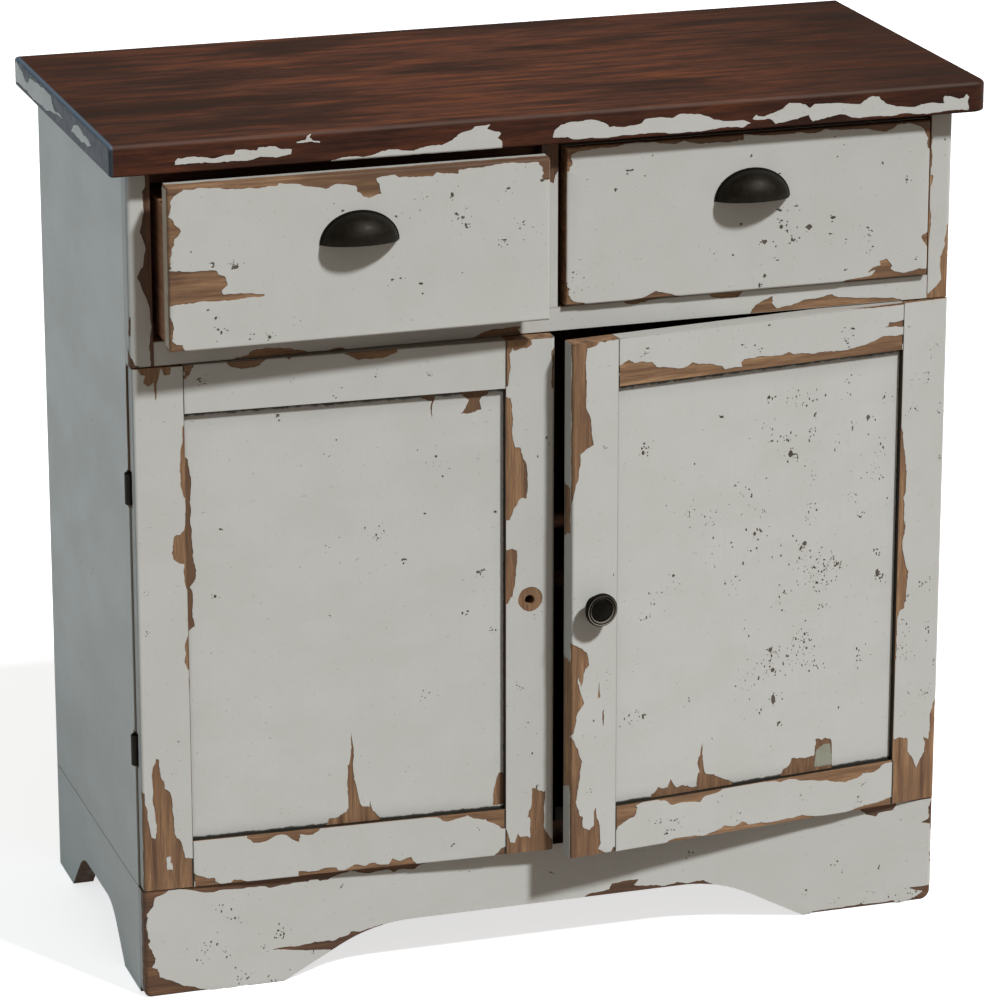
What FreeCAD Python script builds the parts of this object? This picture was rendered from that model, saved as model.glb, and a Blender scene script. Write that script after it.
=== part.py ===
import FreeCAD, Part
import math
import os

# Painted cabinet: two drawers over a pair of framed doors, on a bracket base.
# Millimetres. X runs along the front, Y to the back, Z up.
# The origin is on the floor, in the middle of the case's footprint.

# Case
case_width = 800.0
case_depth = 358.0
case_height = 696.5
side_thickness = 18.0
back_thickness = 6.0
back_rabbet = 9.0
floor_thickness = 16.0
housing_depth = 6.0

# Top board
top_thickness = 29.0
top_left_overhang = 20.0
top_right_overhang = 26.6
top_front_overhang = 23.0
top_back_overhang = 7.0
top_edge_radius = 4.5
top_under_radius = 2.0
top_left_corner_radius = 4.5
top_right_corner_radius = 16.0

# Bracket base
base_height = 107.5
base_side_thickness = 20.0
base_back_thickness = 18.0
cutout_height = 48.0
cutout_flat = 276.0
cutout_radius = 150.0
cutout_slope_deg = 28.3
arch_front_foot = 81.0
arch_back_foot = 58.0
arch_radius = 50.0
arch_slope_deg = 45.0
corner_block_leg = 45.0
left_toe_radius = 6.0
right_toe_radius = 10.0

# Face frame, flush with the closed doors and the base front
frame_thickness = 18.0
face_stile_width = 21.5
centre_stile_width = 16.0
rail_height = 22.5
drawer_opening_height = 161.5
frame_tenon_thickness = 6.0
frame_tenon_length = 8.0
frame_tenon_shoulder = 4.0
corner_radius = 4.0

# Rails under the top board
stretcher_width = 60.0
stretcher_thickness = 18.0
stretcher_setback = 2.0
top_screw_radius = 2.0
top_screw_head_radius = 4.2
top_screw_bite = 14.0
top_screw_end_inset = 120.0

# Drawers
left_drawer_outer_gap = 6.0
left_drawer_inner_gap = 5.0
left_drawer_under_gap = 0.8
right_drawer_outer_gap = 3.5
right_drawer_inner_gap = 5.6
right_drawer_under_gap = 2.7
drawer_over_gap = 8.0
drawer_seat_gap = 1.0
drawer_edge_radius = 2.0
box_outer_gap = 7.0
box_inner_gap = 13.0
box_under_gap = 4.5
box_side_thickness = 12.0
box_side_drop = 20.0
box_front_dado = 6.0
box_back_thickness = 12.0
box_back_dado = 4.0
box_back_drop = 3.0
bottom_thickness = 5.0
bottom_groove_depth = 5.0
bottom_groove_lift = 8.0
left_drawer_pulled_out = 40.0
right_drawer_pulled_out = 7.0

# Drawer runners
running_gap = 0.3
guide_gap = 0.5
runner_height = 16.0
guide_height = 10.0
runner_rail_thickness = 18.0
runner_rail_height = 40.0
stop_length = 12.0
stop_height = 14.0
stop_gap = 0.5
stop_back_room = 14.5

# Shelf
shelf_clear_height = 230.0
shelf_thickness = 16.0
shelf_setback = 25.0
shelf_end_gap = 1.0
shelf_back_gap = 1.0
pin_radius = 2.5
pin_bite = 8.0
pin_spoon_length = 10.0
pin_spoon_width = 12.0
pin_spoon_thickness = 2.0
pin_inset = 40.0
pin_fit = 0.05

# Doors, framed round a flat panel
door_gap = 1.2
door_edge_inset = 2.0
door_meeting_gap = 3.0
door_meeting_offset = 2.0
door_stile_width = 47.0
door_rail_width = 46.0
door_edge_radius = 2.5
panel_thickness = 5.0
panel_recess = 6.0
panel_groove_depth = 8.0
panel_float = 1.0
left_door_ajar_deg = 2.3
right_door_ajar_deg = 6.5

# Butt hinges
hinge_seam = 1.0
barrel_radius = 4.3
barrel_length = 29.0
barrel_clearance = 0.4
knuckle_gap = 0.2
pin_core_radius = 1.8
pin_running_gap = 0.05
pin_press_gap = 0.02
pin_cap_height = 2.0
leaf_width = 15.0
leaf_thickness = 1.5
lower_hinge_height = 136.5
upper_hinge_drop = 118.0
leaf_screw_radius = 1.5
leaf_screw_head_radius = 2.8
leaf_screw_length = 14.0
leaf_screw_edge = 5.0
leaf_screw_spacing = 17.0
screw_fit = 0.05

# Catches
catch_width = 40.0
catch_height = 14.0
catch_depth = 22.0
catch_inset = 30.0
strike_width = 24.0
strike_height = 12.0
strike_thickness = 1.2
magnet_gap = 0.3

# Knob
knob_radius = 16.0
knob_drop = 2.5
knob_projection = 19.0
knob_foot_radius = 9.5
knob_neck_radius = 6.5
knob_foot_height = 2.0
knob_flare_height = 5.6
knob_rim_height = 2.8
knob_face_depth = 2.6
knob_ring_step = 1.2
knob_ring_height = 1.6
knob_neck_hollow = (0.8, 0.3)
knob_flare_hollow = (0.62, 0.42)
knob_hole_radius = 4.75
knob_bolt_radius = 2.0
knob_bolt_head_radius = 4.5
knob_bolt_head_height = 2.5
knob_bolt_bite = 8.0
knob_bolt_play = 0.2

# Cup pulls
pull_width = 75.3
pull_height = 30.0
pull_projection = 24.0
pull_wall = 2.0
pull_rim_width = 1.5
pull_rim_thickness = 1.2
pull_lip_tilt_deg = 5.0
pull_lift = 88.5
pull_outward = 2.0
pull_boss_radius = 3.5
pull_boss_spacing = 48.0
pull_boss_lift = 10.0
pull_screw_radius = 1.6
pull_screw_head_radius = 3.5
pull_screw_head_height = 2.0
pull_screw_bite = 7.0
pull_screw_play = 0.2

# Levels and layers that follow from the sizes above
half = case_width / 2
front_y = -case_depth / 2
back_y = case_depth / 2
layer_y = front_y + frame_thickness
back_inner_y = back_y - back_thickness
base_top = base_height
case_top = base_top + case_height
side_inner_x = half - side_thickness
rail_top = case_top - drawer_opening_height
rail_bottom = rail_top - rail_height
floor_top = base_top + floor_thickness
shelf_bottom = floor_top + shelf_clear_height

door_thickness = frame_thickness - hinge_seam
door_bottom = base_top + door_gap
door_top = rail_bottom - door_gap
door_middle = (door_bottom + door_top) / 2
door_outer_x = -half + door_edge_inset
hinge_axis_x = -half
hinge_axis_y = front_y + door_thickness + hinge_seam / 2
hinge_levels = (door_bottom + lower_hinge_height, door_top - upper_hinge_drop)

drawer_front_thickness = frame_thickness - drawer_seat_gap
opening_outer_x = -half + face_stile_width
opening_inner_x = -centre_stile_width / 2
drawer_top = case_top - drawer_over_gap
box_outer_x = opening_outer_x + box_outer_gap
box_inner_x = opening_inner_x - box_inner_gap
box_bottom = rail_top + box_under_gap
box_top = drawer_top - box_side_drop
box_front_y = front_y + drawer_front_thickness
runner_top = box_bottom - running_gap
runner_back_y = back_inner_y - runner_rail_thickness
stop_back_y = runner_back_y - stop_back_room
box_back_y = stop_back_y - stop_length - stop_gap

X = FreeCAD.Vector(1, 0, 0)
Y = FreeCAD.Vector(0, 1, 0)
Z = FreeCAD.Vector(0, 0, 1)
ORIGIN = FreeCAD.Vector(0, 0, 0)


def block(x0, x1, y0, y1, z0, z1):
    """A board between two corners."""
    corner = FreeCAD.Vector(min(x0, x1), min(y0, y1), min(z0, z1))
    return Part.makeBox(abs(x1 - x0), abs(y1 - y0), abs(z1 - z0), corner)


def rod(radius, start, axis, length):
    """A round bar from a start point along an axis."""
    return Part.makeCylinder(radius, length, FreeCAD.Vector(*start), axis)


def mirrored(shape):
    """The right-hand twin of a left-hand piece."""
    return shape.mirror(ORIGIN, X)


def both(shape):
    """A left-hand piece and its right-hand twin."""
    return [shape, mirrored(shape)]


def edges_along(shape, direction, test):
    """Straight edges along a direction whose middle passes a test."""
    found = []
    for edge in shape.Edges:
        if not isinstance(edge.Curve, (Part.Line, Part.LineSegment)):
            continue
        run = edge.Vertexes[-1].Point.sub(edge.Vertexes[0].Point)
        if run.cross(direction).Length < 1e-6 and test(edge.CenterOfMass):
            found.append(edge)
    return found


def near(a, b):
    """True where two lengths are the same."""
    return abs(a - b) < 1e-4


def at(p):
    """A point of a profile that stands in the X Z plane."""
    return FreeCAD.Vector(p[0], 0, p[1])


def line(p, q):
    """A straight stretch of a profile."""
    return Part.LineSegment(at(p), at(q)).toShape()


def arc(p, middle, q):
    """A round stretch of a profile, through its middle point."""
    return Part.Arc(at(p), at(middle), at(q)).toShape()


def screw(radius, head_radius, head_height, length, tip, axis):
    """A countersunk screw: its tip, its direction to the head, its length over all."""
    shaft = rod(radius, tip, axis, length)
    neck = FreeCAD.Vector(*tip) + axis * (length - head_height)
    return shaft.fuse(Part.makeCone(radius, head_radius, head_height, neck, axis))


def top_board():
    """The stained top, with its edges worn round."""
    board = block(
        -half - top_left_overhang,
        half + top_right_overhang,
        front_y - top_front_overhang,
        back_y + top_back_overhang,
        case_top,
        case_top + top_thickness,
    )
    board = board.makeFillet(top_left_corner_radius, edges_along(board, Z, lambda p: p.y < 0 and p.x < 0))
    board = board.makeFillet(top_right_corner_radius, edges_along(board, Z, lambda p: p.y < 0 and p.x > 0))
    upper = [e for e in board.Edges if near(e.CenterOfMass.z, case_top + top_thickness)]
    board = board.makeFillet(top_edge_radius, upper)
    lower = [e for e in board.Edges if near(e.CenterOfMass.z, case_top) and e.CenterOfMass.y < back_y]
    board = board.makeFillet(top_under_radius, lower)
    pilots = [rod(top_screw_radius + screw_fit, p, Z, top_screw_bite) for p in top_screw_points(0.0)]
    return board.cut(pilots)


def stretcher_spans():
    """The front and back edges of the two rails under the top."""
    front = layer_y + stretcher_setback
    return ((front, front + stretcher_width), (back_inner_y - stretcher_width, back_inner_y))


def top_screw_points(drop):
    """Where the screws pass a level below the underside of the top."""
    reach = half - top_screw_end_inset
    middles = [(y0 + y1) / 2 for y0, y1 in stretcher_spans()]
    return [(x, y, case_top - drop) for y in middles for x in (-reach, 0.0, reach)]


def stretcher(span):
    """A flat rail under the top, housed in the side panels."""
    reach = side_inner_x + housing_depth
    rail = block(-reach, reach, span[0], span[1], case_top - stretcher_thickness, case_top)
    points = [p for p in top_screw_points(stretcher_thickness) if span[0] < p[1] < span[1]]
    sink = top_screw_head_radius - top_screw_radius
    length = stretcher_thickness + top_screw_bite
    holes = []
    for x, y, z in points:
        tip = (x, y, z + length)
        holes.append(screw(top_screw_radius + screw_fit, top_screw_head_radius, sink, length, tip, -Z))
    return rail.cut(holes)


def top_board_screws():
    """Countersunk screws up through the two rails into the top."""
    sink = top_screw_head_radius - top_screw_radius
    length = stretcher_thickness + top_screw_bite
    return [
        screw(top_screw_radius, top_screw_head_radius, sink, length, (x, y, z + length), -Z)
        for x, y, z in top_screw_points(stretcher_thickness)
    ]


def pin_places():
    """Depths of the shelf pins in a side panel."""
    return (layer_y + shelf_setback + pin_inset, back_inner_y - shelf_back_gap - pin_inset)


def shelf_pins():
    """Spoon pins: a round peg in the side panel and a flat tab under the shelf."""
    pins = []
    for y in pin_places():
        peg = rod(pin_radius, (-side_inner_x - pin_bite, y, shelf_bottom - pin_radius), X, pin_bite)
        spoon = block(
            -side_inner_x,
            -side_inner_x + pin_spoon_length,
            y - pin_spoon_width / 2,
            y + pin_spoon_width / 2,
            shelf_bottom - pin_spoon_thickness,
            shelf_bottom,
        )
        rib = rod(pin_radius, (-side_inner_x, y, shelf_bottom - pin_radius), X, pin_spoon_length)
        pins += both(peg.fuse([spoon, rib]).removeSplitter())
    return pins


def side_panel():
    """Left side, rabbeted for the back and housed for the floor and the rails under the top."""
    inner = -side_inner_x
    panel = block(-half, inner, layer_y, back_y, base_top, case_top)
    cuts = [
        block(inner - back_rabbet, inner, back_inner_y, back_y, base_top, case_top),
        block(inner - housing_depth, inner, layer_y, back_inner_y, base_top, floor_top),
    ]
    for y0, y1 in stretcher_spans():
        cuts.append(block(inner - housing_depth, inner, y0, y1, case_top - stretcher_thickness, case_top))
    for y in pin_places():
        start = (inner - pin_bite, y, shelf_bottom - pin_radius)
        cuts.append(rod(pin_radius + pin_fit, start, X, pin_bite))
    return panel.cut(cuts + hinge_recesses(1))


def face_stile():
    """Left stile of the face frame, mortised for the drawer rail."""
    inner = -half + face_stile_width
    stile = block(-half, inner, front_y, layer_y, rail_bottom, case_top)
    corner = edges_along(stile, Z, lambda p: near(p.x, -half) and near(p.y, front_y))
    return stile.makeFillet(corner_radius, corner).cut(rail_tenon(inner))


def rail_tenon(shoulder_x):
    """The drawer rail's left tenon, which is also the stile's mortise."""
    y0 = front_y + (frame_thickness - frame_tenon_thickness) / 2
    return block(
        shoulder_x - frame_tenon_length,
        shoulder_x,
        y0,
        y0 + frame_tenon_thickness,
        rail_bottom + frame_tenon_shoulder,
        rail_top - frame_tenon_shoulder,
    )


def centre_tenon():
    """The centre stile's foot, which is also the drawer rail's mortise."""
    y0 = front_y + (frame_thickness - frame_tenon_thickness) / 2
    reach = centre_stile_width / 2 - frame_tenon_shoulder
    return block(-reach, reach, y0, y0 + frame_tenon_thickness, rail_top - frame_tenon_length, rail_top)


def drawer_rail():
    """The rail between the drawers and the doors."""
    reach = half - face_stile_width
    rail = block(-reach, reach, front_y, layer_y, rail_bottom, rail_top)
    return rail.fuse(both(rail_tenon(-reach))).cut(centre_tenon()).removeSplitter()


def centre_stile():
    """The stile between the two drawers."""
    reach = centre_stile_width / 2
    stile = block(-reach, reach, front_y, layer_y, rail_top, case_top)
    return stile.fuse(centre_tenon()).removeSplitter()


def shoulder_points(flat, slope_deg, radius, rise):
    """One flank of a cut-out in its own X Z: flat end, arc middle, arc end, foot."""
    turn = math.radians(slope_deg)
    arc_middle = (flat + radius * math.sin(turn / 2), rise - radius * (1 - math.cos(turn / 2)))
    arc_end = (flat + radius * math.sin(turn), rise - radius * (1 - math.cos(turn)))
    foot = (arc_end[0] + arc_end[1] / math.tan(turn), 0.0)
    return (flat, rise), arc_middle, arc_end, foot


def cutout_edges(left, right):
    """Edges of a cut-out from its left foot to its right foot."""
    turned = [left[3], left[2], left[1], left[0]]
    return [
        line(turned[0], turned[1]),
        arc(turned[1], turned[2], turned[3]),
        line(turned[3], right[0]),
        arc(right[0], right[1], right[2]),
        line(right[2], right[3]),
    ]


def board_outline(x0, x1, left, right):
    """A base board's face, from end to end, over its cut-out."""
    edges = [line((x0, 0.0), left[3])]
    edges += cutout_edges(left, right)
    edges += [
        line(right[3], (x1, 0.0)),
        line((x1, 0.0), (x1, base_top)),
        line((x1, base_top), (x0, base_top)),
        line((x0, base_top), (x0, 0.0)),
    ]
    return Part.Face(Part.Wire(edges))


def base_front():
    """The shaped front of the base."""
    flank = shoulder_points(cutout_flat / 2, cutout_slope_deg, cutout_radius, cutout_height)
    twin = [(-x, z) for x, z in flank]
    board = board_outline(-half, half, twin, flank).extrude(Y * frame_thickness)
    board.translate(Y * front_y)
    for side, radius in ((-1, left_toe_radius), (1, right_toe_radius)):
        toe = edges_along(board, Y, lambda p: near(p.x, side * half) and near(p.z, 0.0))
        board = board.makeFillet(radius, toe)
    corners = edges_along(board, Z, lambda p: near(abs(p.x), half) and near(p.y, front_y))
    return board.makeFillet(corner_radius, corners)


def base_side():
    """The left side of the base, with its arch."""
    flank = shoulder_points(0.0, arch_slope_deg, arch_radius, cutout_height)
    run = flank[3][0]
    arch_front = front_y + arch_front_foot + run
    arch_back = back_y - arch_back_foot - run
    left = [(arch_front - u, z) for u, z in flank]
    right = [(arch_back + u, z) for u, z in flank]
    board = board_outline(layer_y, back_y, left, right).extrude(Y * base_side_thickness)
    board.rotate(ORIGIN, Z, 90)
    board.translate(X * (-half + base_side_thickness))
    return board


def corner_blocks():
    """Three-cornered glue blocks inside the base."""
    blocks = []
    x = -half + base_side_thickness
    for y, inward in ((layer_y, 1), (back_y - base_back_thickness, -1)):
        points = [
            FreeCAD.Vector(x, y, cutout_height),
            FreeCAD.Vector(x + corner_block_leg, y, cutout_height),
            FreeCAD.Vector(x, y + inward * corner_block_leg, cutout_height),
        ]
        face = Part.Face(Part.makePolygon(points + points[:1]))
        blocks += both(face.extrude(Z * (base_top - cutout_height)))
    return blocks


def side_runner():
    """Left drawer runner with its guide strip."""
    y0, y1 = layer_y, runner_back_y
    bearer = block(
        -side_inner_x, box_outer_x + box_side_thickness, y0, y1, runner_top - runner_height, runner_top
    )
    guide = block(-side_inner_x, box_outer_x - guide_gap, y0, y1, runner_top, runner_top + guide_height)
    return bearer.fuse(guide).removeSplitter()


def centre_runner():
    """Runner and guide that the two drawers share."""
    y0, y1 = layer_y, runner_back_y
    reach = -(box_inner_x - box_side_thickness)
    bearer = block(-reach, reach, y0, y1, runner_top - runner_height, runner_top)
    fin = -(box_inner_x + guide_gap)
    guide = block(-fin, fin, y0, y1, runner_top, runner_top + guide_height)
    return bearer.fuse(guide).removeSplitter()


def drawer_stops():
    """Blocks on the runners that stop the drawers flush with the frame."""
    y0, y1 = stop_back_y - stop_length, stop_back_y
    stops = []
    for x in (box_outer_x, box_inner_x - box_side_thickness):
        stop = block(x, x + box_side_thickness, y0, y1, runner_top, runner_top + stop_height)
        stops += both(stop)
    return stops


def case_pieces():
    """Everything that stays still, by name."""
    reach = side_inner_x + housing_depth
    back_reach = side_inner_x + back_rabbet
    base_reach = half - base_side_thickness
    shelf_reach = side_inner_x - shelf_end_gap
    front_span, back_span = stretcher_spans()
    left_stile = face_stile()
    left_side = side_panel()
    left_base = base_side()
    return {
        "top_board": top_board(),
        "top_board_screws": top_board_screws(),
        "left_side_panel": left_side,
        "right_side_panel": mirrored(left_side),
        "back_panel": block(-back_reach, back_reach, back_inner_y, back_y, base_top, case_top),
        "floor_panel": block(-reach, reach, layer_y, back_inner_y, base_top, floor_top),
        "front_stretcher": stretcher(front_span),
        "back_stretcher": stretcher(back_span),
        "left_face_stile": left_stile,
        "right_face_stile": mirrored(left_stile),
        "centre_face_stile": centre_stile(),
        "drawer_rail": drawer_rail(),
        "side_runners": both(side_runner()),
        "centre_runner": centre_runner(),
        "runner_back_rail": block(
            -side_inner_x,
            side_inner_x,
            runner_back_y,
            back_inner_y,
            runner_top - runner_rail_height,
            runner_top,
        ),
        "drawer_stops": drawer_stops(),
        "shelf": block(
            -shelf_reach,
            shelf_reach,
            layer_y + shelf_setback,
            back_inner_y - shelf_back_gap,
            shelf_bottom,
            shelf_bottom + shelf_thickness,
        ),
        "shelf_pins": shelf_pins(),
        "base_front_board": base_front(),
        "base_left_board": left_base,
        "base_right_board": mirrored(left_base),
        "base_back_rail": block(
            -base_reach, base_reach, back_y - base_back_thickness, back_y, cutout_height, base_top
        ),
        "base_corner_blocks": corner_blocks(),
        "door_catches": door_catches(),
        "hinge_frame_leaves": [p for z in hinge_levels for p in both(hinge_leaf(z, 1))],
        "hinge_pins": [p for z in hinge_levels for p in both(hinge_pin(z))],
        "frame_leaf_screws": [p for z in hinge_levels for s in leaf_screws(z, 1) for p in both(s)],
    }


def knuckle_spans(level, side):
    """Heights of the knuckles on one leaf: the frame's two outer ones, or the door's middle one."""
    third = barrel_length / 3
    low = level - barrel_length / 2
    if side > 0:
        return ((low, low + third), (low + 2 * third, low + barrel_length))
    return ((low + third + knuckle_gap, low + 2 * third - knuckle_gap),)


def leaf_plate(level, side):
    """The flat of a leaf: the frame's lies behind the seam, the door's in front of it."""
    near_y = hinge_axis_y + side * hinge_seam / 2
    far_y = near_y + side * leaf_thickness
    z0 = level - barrel_length / 2
    return block(hinge_axis_x, hinge_axis_x + leaf_width, near_y, far_y, z0, z0 + barrel_length)


def hinge_leaf(level, side):
    """A butt hinge leaf with its knuckles, bored for the pin and countersunk for screws."""
    clear = barrel_radius + barrel_clearance
    start = level - barrel_length / 2
    plate = leaf_plate(level, side)
    plate = plate.cut(rod(clear, (hinge_axis_x, hinge_axis_y, start), Z, barrel_length))
    near_y = hinge_axis_y + side * hinge_seam / 2
    far_y = near_y + side * leaf_thickness
    parts = []
    for z0, z1 in knuckle_spans(level, side):
        parts.append(rod(barrel_radius, (hinge_axis_x, hinge_axis_y, z0), Z, z1 - z0))
        parts.append(block(hinge_axis_x, hinge_axis_x + clear, near_y, far_y, z0, z1))
    gap = pin_press_gap if side > 0 else pin_running_gap
    bore = rod(pin_core_radius + gap, (hinge_axis_x, hinge_axis_y, start), Z, barrel_length)
    holes = leaf_screws(level, side, screw_fit)
    return plate.fuse(parts).cut([bore] + holes).removeSplitter()


def leaf_screws(level, side, extra=0.0):
    """The two countersunk screws of a leaf."""
    head_y = hinge_axis_y + side * hinge_seam / 2
    x = hinge_axis_x + leaf_width - leaf_screw_edge
    tip_y = head_y + side * leaf_screw_length
    out = Y * -side
    return [
        screw(
            leaf_screw_radius + extra,
            leaf_screw_head_radius + extra,
            leaf_thickness,
            leaf_screw_length,
            (x, tip_y, level + dz),
            out,
        )
        for dz in (-leaf_screw_spacing / 2, leaf_screw_spacing / 2)
    ]


def hinge_recesses(side):
    """What a side panel or a door stile gives up for its hinges."""
    cuts = []
    clear = barrel_radius + barrel_clearance
    reach = barrel_length / 2 + pin_cap_height + barrel_clearance
    for level in hinge_levels:
        cuts.append(leaf_plate(level, side))
        cuts.append(rod(clear, (hinge_axis_x, hinge_axis_y, level - reach), Z, 2 * reach))
        cuts += leaf_screws(level, side, screw_fit)
    return cuts


def hinge_pin(level):
    """A pin with a domed cap at each end of the barrel."""
    low = level - barrel_length / 2
    core = rod(pin_core_radius, (hinge_axis_x, hinge_axis_y, low), Z, barrel_length)
    ball_radius = (barrel_radius**2 + pin_cap_height**2) / (2 * pin_cap_height)
    caps = []
    for end, out in ((low, -1), (low + barrel_length, 1)):
        centre = FreeCAD.Vector(hinge_axis_x, hinge_axis_y, end + out * (pin_cap_height - ball_radius))
        ball = Part.makeSphere(ball_radius, centre)
        keep = rod(barrel_radius, (hinge_axis_x, hinge_axis_y, end), Z * out, pin_cap_height)
        caps.append(ball.common(keep))
    return core.fuse(caps).removeSplitter()


def door_width(offset):
    """A door's width, from its hinge edge to the meeting gap."""
    return half + offset - door_meeting_gap / 2 - door_edge_inset


def door_frame_pieces(width):
    """Stiles, rails and panel of a closed left-hand door."""
    x0, x1 = door_outer_x, door_outer_x + width
    y0, y1 = front_y, front_y + door_thickness
    in0, in1 = x0 + door_stile_width, x1 - door_stile_width
    gy0 = y0 + panel_recess
    gy1 = gy0 + panel_thickness
    depth = panel_groove_depth
    low, high = door_bottom + door_rail_width, door_top - door_rail_width

    hinge_stile = block(x0, in0, y0, y1, door_bottom, door_top)
    hinge_stile = rounded_edge(hinge_stile, x0, y0)
    hinge_stile = hinge_stile.cut(block(in0 - depth, in0, gy0, gy1, door_bottom, door_top))
    lock_stile = block(in1, x1, y0, y1, door_bottom, door_top)
    lock_stile = rounded_edge(lock_stile, x1, y0)
    lock_stile = lock_stile.cut(block(in1, in1 + depth, gy0, gy1, door_bottom, door_top))

    top_rail = block(in0, in1, y0, y1, high, door_top)
    top_rail = top_rail.cut(block(in0, in1, gy0, gy1, high, high + depth))
    top_rail = top_rail.fuse(block(in0 - depth, in1 + depth, gy0, gy1, high + depth, door_top))
    bottom_rail = block(in0, in1, y0, y1, door_bottom, low)
    bottom_rail = bottom_rail.cut(block(in0, in1, gy0, gy1, low - depth, low))
    bottom_rail = bottom_rail.fuse(block(in0 - depth, in1 + depth, gy0, gy1, door_bottom, low - depth))

    reach = depth - panel_float
    panel = block(in0 - reach, in1 + reach, gy0, gy1, low - reach, high + reach)
    return {
        "hinge_stile": hinge_stile.cut(hinge_recesses(-1)),
        "lock_stile": lock_stile.cut(strike(width)),
        "top_rail": top_rail.removeSplitter(),
        "bottom_rail": bottom_rail.removeSplitter(),
        "panel": panel,
    }


def rounded_edge(stile, x, y):
    """A stile with its long outer front edge eased."""
    edges = edges_along(stile, Z, lambda p: near(p.x, x) and near(p.y, y))
    return stile.makeFillet(door_edge_radius, edges)


def strike(width):
    """The steel plate let into a door's back, opposite the catch."""
    x = door_outer_x + width - catch_inset
    z = floor_top + catch_height / 2
    face_y = layer_y - magnet_gap
    return block(
        x - strike_width / 2,
        x + strike_width / 2,
        face_y - strike_thickness,
        face_y,
        z - strike_height / 2,
        z + strike_height / 2,
    )


def door_catches():
    """Magnet catches on the floor panel, one behind each lock stile."""
    catches = []
    for sign, offset in ((1, door_meeting_offset), (-1, -door_meeting_offset)):
        x = sign * (door_outer_x + door_width(offset) - catch_inset)
        catches.append(
            block(
                x - catch_width / 2,
                x + catch_width / 2,
                layer_y,
                layer_y + catch_depth,
                floor_top,
                floor_top + catch_height,
            )
        )
    return catches


def knob_place(width, has_knob):
    """Middle of the lock stile, on the door's front face; a knob sits a little below the middle."""
    level = door_middle - knob_drop if has_knob else door_middle
    return door_outer_x + width - door_stile_width / 2, front_y, level


def between(p, q, shares):
    """A point part of the way across and up from one point of a profile to another."""
    return p[0] + shares[0] * (q[0] - p[0]), p[1] + shares[1] * (q[1] - p[1])


def crown_middle(rim, crown):
    """Halfway along a round crown whose ball is centred on the Z axis."""
    rise = crown[1] - rim[1]
    ball = (rim[0] ** 2 + rise**2) / (2 * rise)
    turn = math.asin(rim[0] / ball) / 2
    return ball * math.sin(turn), crown[1] - ball * (1 - math.cos(turn))


def turned_knob():
    """The knob's revolved body: foot, neck, head and a ringed face, about Z."""
    rim_level = knob_projection - knob_face_depth
    head_level = rim_level - knob_rim_height
    neck = (knob_neck_radius, head_level - knob_flare_height)
    foot = (knob_foot_radius, knob_foot_height)
    head = (knob_radius, head_level)
    crests = (knob_ring_height, knob_ring_height / 2, knob_ring_height, 0.0)
    face = [(knob_radius, rim_level)]
    for crest in crests:
        face.append((face[-1][0] - knob_ring_step, rim_level + crest))
    crown = (0.0, knob_projection)
    edges = [
        line((0.0, 0.0), (knob_foot_radius, 0.0)),
        line((knob_foot_radius, 0.0), foot),
        arc(foot, between(foot, neck, knob_neck_hollow), neck),
        arc(neck, between(neck, head, knob_flare_hollow), head),
        line(head, face[0]),
    ]
    edges += [line(face[i], face[i + 1]) for i in range(len(crests))]
    edges += [arc(face[-1], crown_middle(face[-1], crown), crown), line(crown, (0.0, 0.0))]
    return Part.Face(Part.Wire(edges)).revolve(ORIGIN, Z, 360)


def knob_and_bolt(width):
    """The knob on the lock stile, and the bolt that holds it from behind."""
    x, y, z = knob_place(width, True)
    knob = turned_knob()
    knob.rotate(ORIGIN, X, 90)
    knob.translate(FreeCAD.Vector(x, y, z))
    knob = knob.cut(rod(knob_bolt_radius + screw_fit, (x, y, z), -Y, knob_bolt_bite))
    shaft = rod(knob_bolt_radius, (x, y - knob_bolt_bite, z), Y, knob_bolt_bite + door_thickness)
    head = rod(knob_bolt_head_radius, (x, y + door_thickness, z), Y, knob_bolt_head_height)
    return knob, shaft.fuse(head).removeSplitter()


def door_pieces(prefix, offset, has_knob):
    """A closed left-hand door, by name."""
    width = door_width(offset)
    found = door_frame_pieces(width)
    hole = knob_bolt_radius + knob_bolt_play if has_knob else knob_hole_radius
    place = knob_place(width, has_knob)
    found["lock_stile"] = found["lock_stile"].cut(rod(hole, place, Y, door_thickness))
    found["hinge_leaves"] = [hinge_leaf(z, -1) for z in hinge_levels]
    found["leaf_screws"] = [s for z in hinge_levels for s in leaf_screws(z, -1)]
    found["strike_plate"] = strike(width)
    if has_knob:
        found["knob"], found["knob_bolt"] = knob_and_bolt(width)
    return {prefix + name: shape for name, shape in found.items()}


def swung(shape, angle_deg):
    """A left-hand door piece, opened about the hinge axis."""
    return shape.rotated(FreeCAD.Vector(hinge_axis_x, hinge_axis_y, 0), Z, -angle_deg)


def front_of(outer_gap, inner_gap, under_gap):
    """A left-hand drawer front's outer and inner edge and its bottom, from its gaps in the opening."""
    return opening_outer_x + outer_gap, opening_inner_x - inner_gap, rail_top + under_gap


def drawer_front(edges):
    """A closed left-hand drawer's front, with dadoes for the box and holes for the pull."""
    y0, y1 = front_y, box_front_y
    front = block(edges[0], edges[1], y0, y1, edges[2], drawer_top)
    rim = [e for e in front.Edges if near(e.CenterOfMass.y, y0)]
    front = front.makeFillet(drawer_edge_radius, rim)
    cuts = [
        block(box_outer_x, box_outer_x + box_side_thickness, y1 - box_front_dado, y1, box_bottom, box_top),
        block(box_inner_x - box_side_thickness, box_inner_x, y1 - box_front_dado, y1, box_bottom, box_top),
        bottom_board(),
    ]
    for x, z in pull_screw_places(edges):
        cuts.append(rod(pull_screw_radius + pull_screw_play, (x, y0, z), Y, drawer_front_thickness))
    return front.cut(cuts)


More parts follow.
